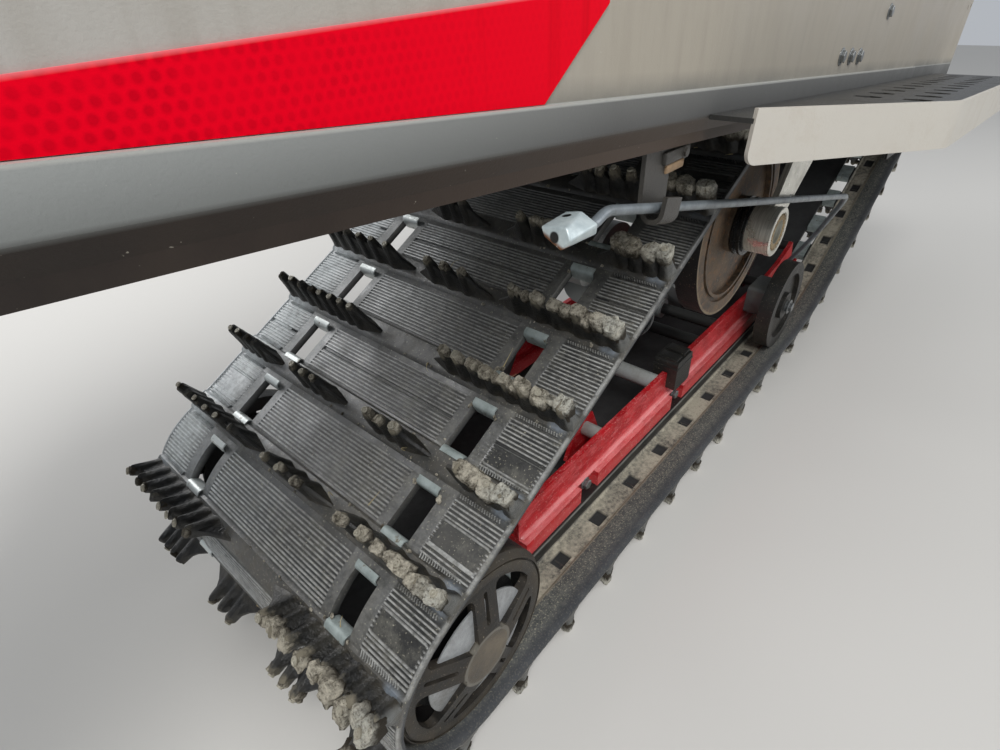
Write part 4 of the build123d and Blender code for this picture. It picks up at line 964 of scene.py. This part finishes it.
def group_stations(fingers, rng):
    """Stations along one ridge: y, depth of its top, half thickness at the top and at the root."""
    web_top = 28.0 * MM if sum(fingers) > 0 else 24.0 * MM
    end_top = 8.0 * MM
    near_edge, slope_in = 150.0 * MM, 25.0 * MM
    stations = []
    outermost = 189.6 * MM
    for index, y in enumerate(fingers):
        top = LUG_TIP - rng.uniform(0.0, 2.2) * MM
        width = rng.uniform(4.2, 5.2) * MM
        if index:
            middle = (fingers[index - 1] + y) / 2
            stations.append((middle, web_top + rng.uniform(-2, 2) * MM, 1.6 * MM, 7.5 * MM))
        for offset, drop, thick in ((-1.0, 9.0, 2.0), (-0.72, 2.0, 3.7), (0.0, 0.0, 4.8), (0.72, 2.0, 3.7),
                                    (1.0, 9.0, 2.0)):
            place = max(-outermost, min(outermost, y + offset * width))
            stations.append((place, top - drop * MM, thick * MM, 8.5 * MM))
    first, last = stations[0], stations[-1]
    if first[0] > -near_edge:
        stations.insert(0, (first[0] - 7 * MM, 21.0 * MM, 1.8 * MM, 8.0 * MM))
        stations.insert(0, (first[0] - slope_in, end_top, 1.5 * MM, 3.0 * MM))
    else:
        stations.insert(0, (-HALF_WIDTH + 0.3 * MM, 20.0 * MM, 1.8 * MM, 8.5 * MM))
    if last[0] < near_edge:
        stations.append((last[0] + 7 * MM, 21.0 * MM, 1.8 * MM, 8.0 * MM))
        stations.append((last[0] + slope_in, end_top, 1.5 * MM, 3.0 * MM))
    else:
        stations.append((HALF_WIDTH - 0.3 * MM, 20.0 * MM, 1.8 * MM, 8.5 * MM))
    return stations


LUG_LEVELS = [(0.0, 1.0), (0.10, 0.80), (0.25, 0.55), (0.45, 0.35), (0.68, 0.16), (0.86, 0.02),
              (0.96, -0.12), (1.0, -0.5)]


def track_lugs():
    """Each ridge is a row of narrow arches from the belt up to its top and down again."""
    rng = random.Random(4)
    pile = Pile()
    root = 7.4 * MM
    for row, kind in lug_rows():
        travel = (row + LUG_PLACE) * PITCH
        for fingers in row_groups(kind):
            columns = []
            for y, top, thick, base in group_stations(fingers, rng):
                column = []
                for share, flare in LUG_LEVELS:
                    half = thick + flare * (base - thick) if flare >= 0 else thick * (1 + flare)
                    column.append((half, root + share * (top - root)))
                ahead = [(travel + half, y, depth) for half, depth in column]
                behind = [(travel - half, y, depth) for half, depth in reversed(column)]
                columns.append(ahead + behind)
            pile.strip(columns)
    height = [(v[2] - BELT) / (LUG_TIP - BELT) for v in pile.verts]
    return pile.made("track_lugs", "lugs", 40.0, {"height": height}, on_belt=True)


def ball_shape(subdivisions):
    """Points and faces of a round ball."""
    ball = bmesh.new()
    bmesh.ops.create_icosphere(ball, subdivisions=subdivisions, radius=1.0)
    shape = [v.co.copy() for v in ball.verts]
    shells = [tuple(v.index for v in f.verts) for f in ball.faces]
    ball.free()
    return shape, shells


def lump(pile, ball, middle, size, seed, top):
    """A rough, squarish clod with a broken flat top."""
    points = []
    for co in ball[0]:
        bulge = 1 + 0.34 * noise.noise(co * 1.3 + seed) + 0.20 * noise.noise(co * 3.1 + seed * 2)
        bulge += 0.09 * noise.noise(co * 7.0 + seed)
        square = max(abs(co.x), abs(co.y), abs(co.z)) ** -0.55
        point = [middle[i] + co[i] * size[i] * bulge * square for i in range(3)]
        point[2] = min(point[2], top + 0.8 * MM * noise.noise(co * 3.0 + seed) - 0.5 * MM)
        point[1] = max(point[1], -HALF_WIDTH + 0.1 * MM)
        points.append(point)
    pile.add(points, ball[1])


# Where the mud thins out, from the right edge to the left
MUD_EDGE = -135.0 * MM
MUD_SIDE = -60.0 * MM
MUD_MIDDLE = 20.0 * MM


def mud_lumps():
    """Dried mud on the tips of the lugs, merged and thicker towards the right, torn at the outer edge."""
    rng = random.Random(9)
    coarse = ball_shape(2)
    fine = ball_shape(3)
    pile = Pile()

    def clod(row, y, wide, size, drop):
        size = [rng.uniform(low, high) * wide * MM for low, high in size]
        travel = (row + LUG_PLACE) * PITCH + rng.uniform(-2.0, 2.0) * MM * wide
        top = LUG_TIP - rng.uniform(-0.2, 1.8) * MM
        middle = (travel, max(-186 * MM, y + rng.uniform(-1.5, 1.5) * MM),
                  top - drop - size[2] * rng.uniform(0.6, 0.8))
        ball = fine if wide > 0.8 else coarse
        lump(pile, ball, middle, size, Vector((row * 7.3, y * 310.0, wide * 9.0)), top)

    for row, kind in lug_rows():
        for fingers in row_groups(kind):
            before = None
            for y in sorted(fingers, reverse=True):
                cover = 1.0 if y < MUD_SIDE else 0.8 if y < MUD_MIDDLE else 0.6
                if rng.random() > cover:
                    before = None
                    continue
                wide = 1.2 if y < MUD_EDGE else 0.86 if y < MUD_SIDE else 0.72 if y < MUD_MIDDLE else 0.56
                clod(row, y, wide, ((4.2, 6.0), (5.2, 7.2), (6.5, 9.5)), 0.0)
                joined = 0.7 if y < MUD_EDGE else 0.22 if y < MUD_MIDDLE else 0.0
                if before is not None and rng.random() < joined:
                    clod(row, (y + before) / 2, wide, ((3.4, 5.2), (4.0, 6.0), (4.5, 7.0)),
                         rng.uniform(2.0, 6.0) * MM)
                before = y
            if min(fingers) < -150 * MM:
                for _ in range(2):
                    clod(row, -187.0 * MM, 1.0, ((3.0, 6.5), (2.4, 3.6), (9.0, 12.5)),
                         rng.uniform(1.0, 4.0) * MM)
    height = [(v[2] - BELT) / (LUG_TIP - BELT) for v in pile.verts]
    return pile.made("track_mud", "mud", 50.0, {"height": height}, on_belt=True)


def mud_crumbs():
    """Small clods on the bars, at the windows' corners and on the clips, most of them on the right."""
    rng = random.Random(12)
    ball = ball_shape(1)
    corners = ((-102.0, 0.50), (-100.5, 0.02), (-126.5, 0.03), (-101.5, 0.56), (-113.0, 0.62), (-128.0, 0.54))
    open_top = 0.02
    pile = Pile()
    for row in range(PITCH_COUNT):
        for _ in range(7):
            out, phase = rng.choice(corners)
            y = out * MM + rng.uniform(-3.0, 3.0) * MM
            travel = (row + phase + rng.uniform(-0.02, 0.02)) * PITCH
            size = [rng.uniform(0.9, 2.4) * MM, rng.uniform(0.9, 2.6) * MM, rng.uniform(0.7, 1.5) * MM]
            lump(pile, ball, (travel, y, 9.4 * MM), size, Vector((row, y * 900, travel * 50)), open_top)
    for row, _ in lug_rows():
        for _ in range(9):
            y = rng.uniform(-180.0, 40.0) * MM
            travel = (row + LUG_PLACE + rng.choice((-1, 1)) * rng.uniform(0.09, 0.13)) * PITCH
            size = [rng.uniform(0.6, 1.9) * MM, rng.uniform(0.6, 2.2) * MM, rng.uniform(0.5, 1.2) * MM]
            lump(pile, ball, (travel, y, 9.6 * MM), size, Vector((row, y * 700, travel * 40)), open_top)
    return pile.made("track_crumbs", "mud", 50.0, {"height": [0.95] * len(pile.verts)}, on_belt=True)


def stud_heads():
    """Small ringed heads in the tips of many fingers."""
    rng = random.Random(5)
    headed_share = 0.6
    rise = 1.45 * MM
    dish = rise - 0.5 * MM
    ring = [(0, 2.9 * MM), (rise, 2.7 * MM), (rise, 2.0 * MM), (dish, 1.7 * MM), (dish, 1.1 * MM),
            (rise, 0.9 * MM), (rise + 0.1 * MM, 0.4 * MM)]
    pile = Pile()
    for row, kind in lug_rows():
        for fingers in row_groups(kind):
            for y in fingers:
                if rng.random() > headed_share:
                    continue
                place = ((row + LUG_PLACE) * PITCH + rng.uniform(-0.8, 0.8) * MM, y, LUG_TIP - 1.2 * MM)
                lean = (rng.uniform(-0.15, 0.15), rng.uniform(-0.15, 0.15), 1.0)
                pile.turned(place, lean, ring, sides=10)
    return pile.made("track_studs", "stud", 30.0, on_belt=True)


def base_combs():
    """Rows of short fine ribs at the feet of the lugs near both edges of the belt."""
    comb_count, innermost, comb_step = 17, 141.0, 2.4
    pile = Pile()
    for row, _ in lug_rows():
        for sign in SIDES:
            for n in range(comb_count):
                y = sign * (innermost + comb_step * n) * MM
                for first, last in ((0.505, 0.575 - 0.0022 * n), (0.865, 0.905)):
                    start, end = (row + first) * PITCH, (row + last) * PITCH
                    lean = sign * 1.6 * MM
                    columns = []
                    for travel, shift, high in ((start, 0.0, 7.9), (start + MM, 0.1, 8.5),
                                                (end - MM, 0.9, 9.3), (end, 1.0, 9.6)):
                        middle = y + lean * shift
                        rib = [(-0.75, 7.0), (-0.35, high), (0.35, high), (0.75, 7.0)]
                        columns.append([(travel, middle + off * MM, depth * MM) for off, depth in rib])
                    pile.strip(columns)
    marks = {key: [0.0] * len(pile.verts) for key in ("inside", "bar", "pocket")}
    # Comb tops take the rib-top colour: partly wear, partly painted highlight.
    marks["crown"] = [0.9 if v[2] > 7.5 * MM else 0.0 for v in pile.verts]
    return pile.made("track_combs", "belt", 30.0, marks, on_belt=True)


def straw_bits():
    """A few dry stalks caught in the mud."""
    rng = random.Random(21)
    stalk_count = 70
    phases = (0.0, 0.5, LUG_PLACE - 0.1, LUG_PLACE + 0.1)
    pile = Pile()
    for _ in range(stalk_count):
        row = rng.randrange(PITCH_COUNT)
        travel = (row + rng.choice(phases) + rng.uniform(-0.03, 0.03)) * PITCH
        y = rng.uniform(-184.0, 30.0) * MM
        turn, long, curl = rng.uniform(0, 6.28), rng.uniform(6.0, 22.0) * MM, rng.uniform(-1.2, 1.2)
        points = []
        for n in range(7):
            share = n / 6
            heading = turn + curl * share
            ahead = math.cos(heading) * long * share
            across = math.sin(heading) * long * share * 0.5
            rise = 7 * MM * math.sin(share * 2.6) * abs(curl)
            points.append((travel + ahead, y + across, 10.5 * MM + rise))
        points = [(a, max(-HALF_WIDTH + MM, b), c) for a, b, c in points]
        pile.tube(points, [0.45 * MM * (1.05 - 0.8 * n / 6) for n in range(7)], sides=4)
    return pile.made("track_straw", "straw", 60.0, on_belt=True)


# Steel clips round the bars between the windows
CLIP_PATH = [
    (0.605, 9.6), (0.565, 9.9), (0.548, 9.4), (0.536, 8.0), (0.533, 3.0), (0.534, -0.5), (0.545, -1.7),
    (0.60, -2.0), (0.94, -2.0), (0.99, -1.7), (1.003, -0.5), (1.004, 5.0), (1.002, 8.6), (0.990, 10.4),
    (0.972, 11.2), (0.925, 11.4),
]


def track_clips():
    """Line of bent sheet from its rear tab round each bar to its front tab."""
    sheet, waist_half, tab_half = 1.3 * MM, 11.0 * MM, 11.7 * MM
    pile = Pile()
    line = [(phase * PITCH, depth * MM) for phase, depth in CLIP_PATH]
    for row in range(PITCH_COUNT):
        for column in (COLUMN, -COLUMN):
            columns = []
            for i, (travel, depth) in enumerate(line):
                before, after = line[max(0, i - 1)], line[min(len(line) - 1, i + 1)]
                run, climb = after[0] - before[0], after[1] - before[1]
                long = math.hypot(run, climb)
                up, back = climb / long * sheet, -run / long * sheet
                half = waist_half if 3 < i < len(line) - 4 else tab_half
                here = row * PITCH + travel
                columns.append([(here, column - half, depth), (here + up, column - half, depth + back),
                                (here + up, column + half, depth + back), (here, column + half, depth)])
            pile.strip(columns)
    return pile.made("track_clips", "zinc", 40.0, on_belt=True)


# Ice scratchers: a bent spring rod and a small pale tip on each side. Rows give a corner of the rod or of an
# end of the tip, as place, distance from the middle and height, in millimetres
ROD_LINE = [(878, 128, 132), (862, 160, 190), (790, 205, 287.5), (106, 205, 456.0), (92, 205, 451.0),
            (72, 205, 456.5)]
TIP_REAR = [(57, 196.4, 460.2), (57, 212.9, 462.9), (55.5, 216.4, 456.9), (56, 209.7, 450.0),
            (58, 198.0, 454.5)]
TIP_FRONT = [(82, 194.4, 460.6), (83, 204.2, 462.4), (83, 214.7, 457.6), (83, 214.4, 451.5),
             (82, 196.0, 453.5)]


def rounded_line(points, radius, steps=6):
    """The line with each inner corner replaced by a curve that starts a radius before it."""
    line = [points[0]]
    for before, corner, after in zip(points, points[1:], points[2:]):
        reach = min(radius, (corner - before).length * 0.45, (after - corner).length * 0.45)
        start = corner + (before - corner).normalized() * reach
        end = corner + (after - corner).normalized() * reach
        for n in range(steps + 1):
            share = n / steps
            line.append(start * (1 - share) ** 2 + corner * 2 * share * (1 - share) + end * share ** 2)
    return line + [points[-1]]


def scratcher(side):
    bend, thin, thick, tip_edge = 30.0 * MM, 3.2 * MM, 3.9 * MM, 1.3 * MM
    thin_until = along(250.0)
    rod = Pile()
    line = [Vector(spot(place, side, y, z)) for place, y, z in ROD_LINE]
    smooth = rounded_line(line, bend)
    rod.tube(smooth, [thin if point.x < thin_until else thick for point in smooth], sides=14)
    shape = bmesh.new()
    ends = []
    for corners in (TIP_REAR, TIP_FRONT):
        ends.append([shape.verts.new(spot(place, side, y, z)) for place, y, z in corners])
    count = len(TIP_REAR)
    for n in range(count):
        shape.faces.new((ends[0][n], ends[0][(n + 1) % count], ends[1][(n + 1) % count], ends[1][n]))
    shape.faces.new(ends[0])
    shape.faces.new(ends[1])
    bmesh.ops.bevel(shape, geom=list(shape.edges), offset=tip_edge, segments=3, profile=0.5, affect="EDGES")
    rod.add_shape(shape)
    return rod.made("scratcher_rod_" + SIDE_NAMES[side], "scratcher", 40.0)


# Rails: a ridge at the foot of each web, bolt heads in the notches and pads on the rest blocks
def rail_ridges():
    pile = Pile()
    rear_end = 130.0
    top, web = 83.0 * MM, 116.3 * MM
    section = [(-0.4, -0.6), (4.4, -0.6), (4.2, 0.9), (3.2, 2.0), (1.6, 2.7), (-0.4, 3.4)]
    for side in SIDES:
        columns = []
        for place in (rear_end, 133.0, 420.0, 640.0, 800.0):
            scale = 0.55 if place == rear_end else 1.0
            columns.append([(along(place), side * (web + out * scale * MM),
                             top + max(up * scale, -0.6) * MM) for out, up in section])
        pile.strip(columns)
    return pile.made("rail_ridges", "red", 50.0)


def bolt(pile, centre, axis, flats, head, washer=1.25):
    """A hexagon head on a round washer, standing on the centre point."""
    round_end = [(0, flats * washer / 2 * 1.15), (head * 0.18, flats * washer / 2 * 1.15),
                 (head * 0.24, flats * washer / 2 * 1.08)]
    pile.turned(centre, axis, round_end, sides=20)
    reach = flats / 2 / math.cos(math.pi / 6)
    pile.turned(centre, axis, [(head * 0.2, reach), (head * 0.88, reach), (head, reach * 0.86)], sides=6)


def rail_bolts():
    pile = Pile()
    for side in SIDES:
        for place in (246.0, 469.0):
            bolt(pile, spot(place, side, 119.6, 76.0), (0, side, 0), 11 * MM, 6.5 * MM)
        bolt(pile, spot(820.0, side, 116.2, 108.0), (0, side, 0), 13 * MM, 6.0 * MM)
        bolt(pile, spot(752.0, side, 177.0, 112.0), (0, side, 0), 13 * MM, 6.0 * MM, 1.6)
    return pile.made("rail_bolts", "bolt", 30.0)


def rest_pads():
    """Two low pads with a groove between them on each rest block, and a wider one below them."""
    block_place, block_y, corner = 468.0, 112.8, 1.2 * MM
    pile = Pile()
    for side in SIDES:
        for shift in (-11.5, 11.5):
            pile.block(spot(block_place + shift, side, block_y, 142.4), mm(18.0, 27.0, 3.2), corner)
        pile.block(spot(block_place, side, block_y, 131.0), mm(46.0, 36.0, 4.0), corner)
    return pile.made("rest_pads", "plastic", 30.0)


def coil_springs():
    """Springs round both shock absorbers; each row is the lower and the upper eye, as place and height."""
    pile = Pile()
    rows = (((575.0, 104.0), (397.7, 259.4)), ((640.0, 104.0), (965.2, 264.4)))
    radius, wire, turns = 31.0 * MM, 4.3 * MM, 7.0
    lower_seat, upper_seat = 31.0 * MM, 33.0 * MM
    flat_end, rising = 0.07, 0.86
    for foot, top in rows:
        low = Vector((along(foot[0]), 0.0, foot[1] * MM))
        axis = Vector((along(top[0]), 0.0, top[1] * MM)) - low
        span = axis.length
        axis.normalize()
        first, second = Vector((0, 1, 0)), axis.cross(Vector((0, 1, 0)))
        begin, end = lower_seat + wire, span - upper_seat - wire
        count = int(turns * 16)
        points = []
        for n in range(count + 1):
            angle = 2 * math.pi * turns * n / count
            share = min(1.0, max(0.0, (n / count - flat_end) / rising))
            ahead = begin + (end - begin) * share
            points.append(low + axis * ahead + (first * math.cos(angle) + second * math.sin(angle)) * radius)
        pile.tube(points, wire, sides=8)
    return pile.made("coil_springs", "spring", 40.0)


# Rear wheels, with their spokes turned to where they stand, and a satin disc in the windows
SPOKE_TURN = math.radians(-16.0)


def turned_wheel(side):
    axle = centre_of("rear_axle")
    middle = Matrix.Translation((axle.x, 0.0, axle.z))
    mesh = nodes["rear_wheel_" + SIDE_NAMES[side]].data.copy()
    mesh.transform(middle @ Matrix.Rotation(SPOKE_TURN, 4, "Y") @ middle.inverted())
    return linked("wheel_turned_" + SIDE_NAMES[side], mesh)


def wheel_discs():
    pile = Pile()
    axle = centre_of("rear_axle")
    profile = [(185.0, 25.9), (180.6, 52.5), (180.0, 54.0), (178.8, 54.0), (178.8, 52.0), (182.0, 25.9)]
    for side in SIDES:
        pile.turned((axle.x, 0.0, axle.z), (0, side, 0),
                    [(out * MM, radius * MM) for out, radius in profile], sides=64, ring=True)
    return pile.made("wheel_discs", "satin", 30.0)


# Brackets and the upper shaft's ends
def bracket_bolts():
    side_face, hub_face = 202.9, 206.8
    pile = Pile()
    for side in SIDES:
        for place in (538.0, 575.0, 612.0):
            height = 490.0 - EDGE_FALL * place + 48.0
            bolt(pile, spot(place, side, side_face, height), (0, side, 0), 10 * MM, 4.0 * MM, 1.4)
        bolt(pile, spot(700.0, side, side_face, 520.0), (0, side, 0), 10 * MM, 4.0 * MM, 1.4)
        bolt(pile, spot(1040.0, side, hub_face, 345.0), (0, side, 0), 17 * MM, 4.0 * MM, 1.3)
    return pile.made("bracket_bolts", "bolt", 30.0)


def hub_rings():
    """A toothed ring and a pale rim in the end of each bracket's hub."""
    toothed, rims = Pile(), Pile()
    steps = 96
    tooth, valley, bore = 19.4 * MM, 17.2 * MM, 12.6 * MM
    shaft = centre_of("upper_shaft")
    for side in SIDES:
        face = side * 209.0 * MM
        columns = []
        for n in range(steps):
            angle = 2 * math.pi * n / steps
            outer = tooth if n % 4 < 2 else valley
            spots = [(bore, -1.4), (outer, -1.4), (outer, 0.5), (13.4 * MM, 0.5), (bore, 0.0)]
            columns.append([(shaft.x + r * math.cos(angle), face + side * up * MM,
                             shaft.z + r * math.sin(angle)) for r, up in spots])
        toothed.strip(columns, closed=True)
        edge = [mm(-5.0, 25.0), mm(-5.0, 25.5), mm(0.2, 25.5), mm(0.7, 25.0), mm(0.7, 20.6), mm(-1.0, 20.2)]
        rims.turned((shaft.x, face, shaft.z), (0, side, 0), edge, sides=48, ring=True)
    return toothed.made("hub_teeth", "brass", 25.0), rims.made("hub_rims", "bracket", 30.0)


def edge_clips():
    """A tan clip on a dark seat under each side of the tunnel, ahead of the scratcher's hook."""
    place = 196.0
    tan, seats = Pile(), Pile()
    for side in SIDES:
        tan.block(spot(place, side, 196.5, 460.0), mm(25.0, 10.0, 6.4), 1.6 * MM)
        seats.block(spot(place, side, 197.5, 467.3), mm(34.0, 10.0, 8.2), 1.5 * MM)
        bolt(seats, spot(205.0, side, 202.3, 467.0), (0, side, 0), 5.5 * MM, 2.0 * MM)
    return tan.made("edge_clips", "tan", 30.0), seats.made("edge_clip_seats", "hook", 30.0)


# Rear: the flap's ribs
def flap_trim():
    """Moulded ribs across the flap's rear face, following its lean."""
    ribs = Pile()
    low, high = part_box("snow_flap")
    thick = 5.0 * MM
    rib_count, first_rise, rib_step = 9, 0.05, 0.075
    end, full = 178.0, 174.0
    drop = high.z - low.z
    lean = (high.x - low.x - thick) / drop
    for n in range(rib_count):
        rise = first_rise + rib_step * n
        z = low.z + drop * rise
        x = low.x + lean * (z - low.z)
        section = [(0.6, -5.0), (-1.4, -4.0), (-2.2, 0.0), (-1.4, 4.0), (0.6, 5.0)]
        columns = []
        for y in (-end, -full, full, end):
            scale = 0.6 if abs(y) > full else 1.0
            columns.append([(x + out * scale * MM + lean * up * scale * MM, y * MM,
                             z + up * scale * MM) for out, up in section])
        ribs.strip(columns)
    return ribs.made("flap_ribs", "rubber", 40.0)


fitted(track_belt(), "track_rubber", "track")
fitted(track_lugs(), "track_rubber")
fitted(mud_lumps(), "track_rubber")
fitted(mud_crumbs(), "track_rubber")
fitted(stud_heads(), "rod_steel")
fitted(base_combs(), "track_rubber")
fitted(straw_bits(), "track_rubber")
fitted(track_clips(), "rod_steel")
fitted(scratcher(-1), "rod_steel", "scratcher_right")
fitted(scratcher(1), "rod_steel", "scratcher_left")
fitted(turned_wheel(-1), "wheel_plastic", "rear_wheel_right")
fitted(turned_wheel(1), "wheel_plastic", "rear_wheel_left")
fitted(wheel_discs(), "bare_aluminium")
fitted(rail_ridges(), "painted_red")
fitted(rail_bolts(), "shaft_steel")
fitted(rest_pads(), "block_plastic")
fitted(coil_springs(), "painted_black")
fitted(bracket_bolts(), "shaft_steel")
for piece in hub_rings():
    fitted(piece, "bare_aluminium")
for piece, slot in zip(edge_clips(), ("block_plastic", "shaft_steel")):
    fitted(piece, slot)
fitted(flap_trim(), "flap_rubber")


# Stage: a pale floor and soft light
def floor():
    size, level = 6.0, -0.5 * MM
    mesh = bpy.data.meshes.new("floor")
    corners = [(-size, -size, level), (size, -size, level), (size, size, level), (-size, size, level)]
    mesh.from_pydata(corners, [], [(0, 1, 2, 3)])
    shade = Shade("floor_paint")
    shade.colour((0.80, 0.79, 0.77))
    shade.rough(0.9)
    mesh.materials.append(shade.material)
    plane = linked("floor", mesh)


def area_light(name, place, target, size, power):
    data = bpy.data.lights.new(name, "AREA")
    data.shape = "DISK"
    data.size = size
    data.energy = power
    lamp = linked(name, data)
    lamp.location = place
    lamp.rotation_euler = (Vector(target) - Vector(place)).to_track_quat("-Z", "Y").to_euler()


def world():
    made = bpy.data.worlds.new("studio")
    made.use_nodes = True
    background = made.node_tree.nodes["Background"]
    background.inputs["Color"].default_value = (0.80, 0.84, 0.90, 1.0)
    background.inputs["Strength"].default_value = 0.55
    bpy.context.scene.world = made


def camera():
    """The photograph's viewpoint: right, up and back are the axes of the camera in the row frame."""
    data = bpy.data.cameras.new("photo")
    data.sensor_width = 36.0
    data.lens = 20.16
    data.clip_start = 0.01
    right = Vector((0.6527, -0.7567, -0.0368))
    up = Vector((0.4530, 0.3509, 0.8195))
    back = Vector((-0.6072, -0.5516, 0.5719))
    seen_from = Vector((-0.6498, -0.3641, 0.5614))
    eye = linked("photo", data)
    eye.matrix_world = Matrix.Translation(seen_from) @ Matrix((right, up, back)).transposed().to_4x4()
    bpy.context.scene.camera = eye


floor()
world()
area_light("key", (-1.5, -1.3, 2.6), (-0.3, 0.0, 0.3), 1.2, 60.0)
area_light("far", (-0.5, 2.4, 1.5), (-0.4, 0.0, 0.3), 1.6, 34.0)
area_light("fill", (1.8, -2.0, 1.4), (0.0, 0.0, 0.3), 1.8, 18.0)
camera()
bpy.context.scene.view_settings.view_transform = "Standard"

bpy.context.view_layer.update()
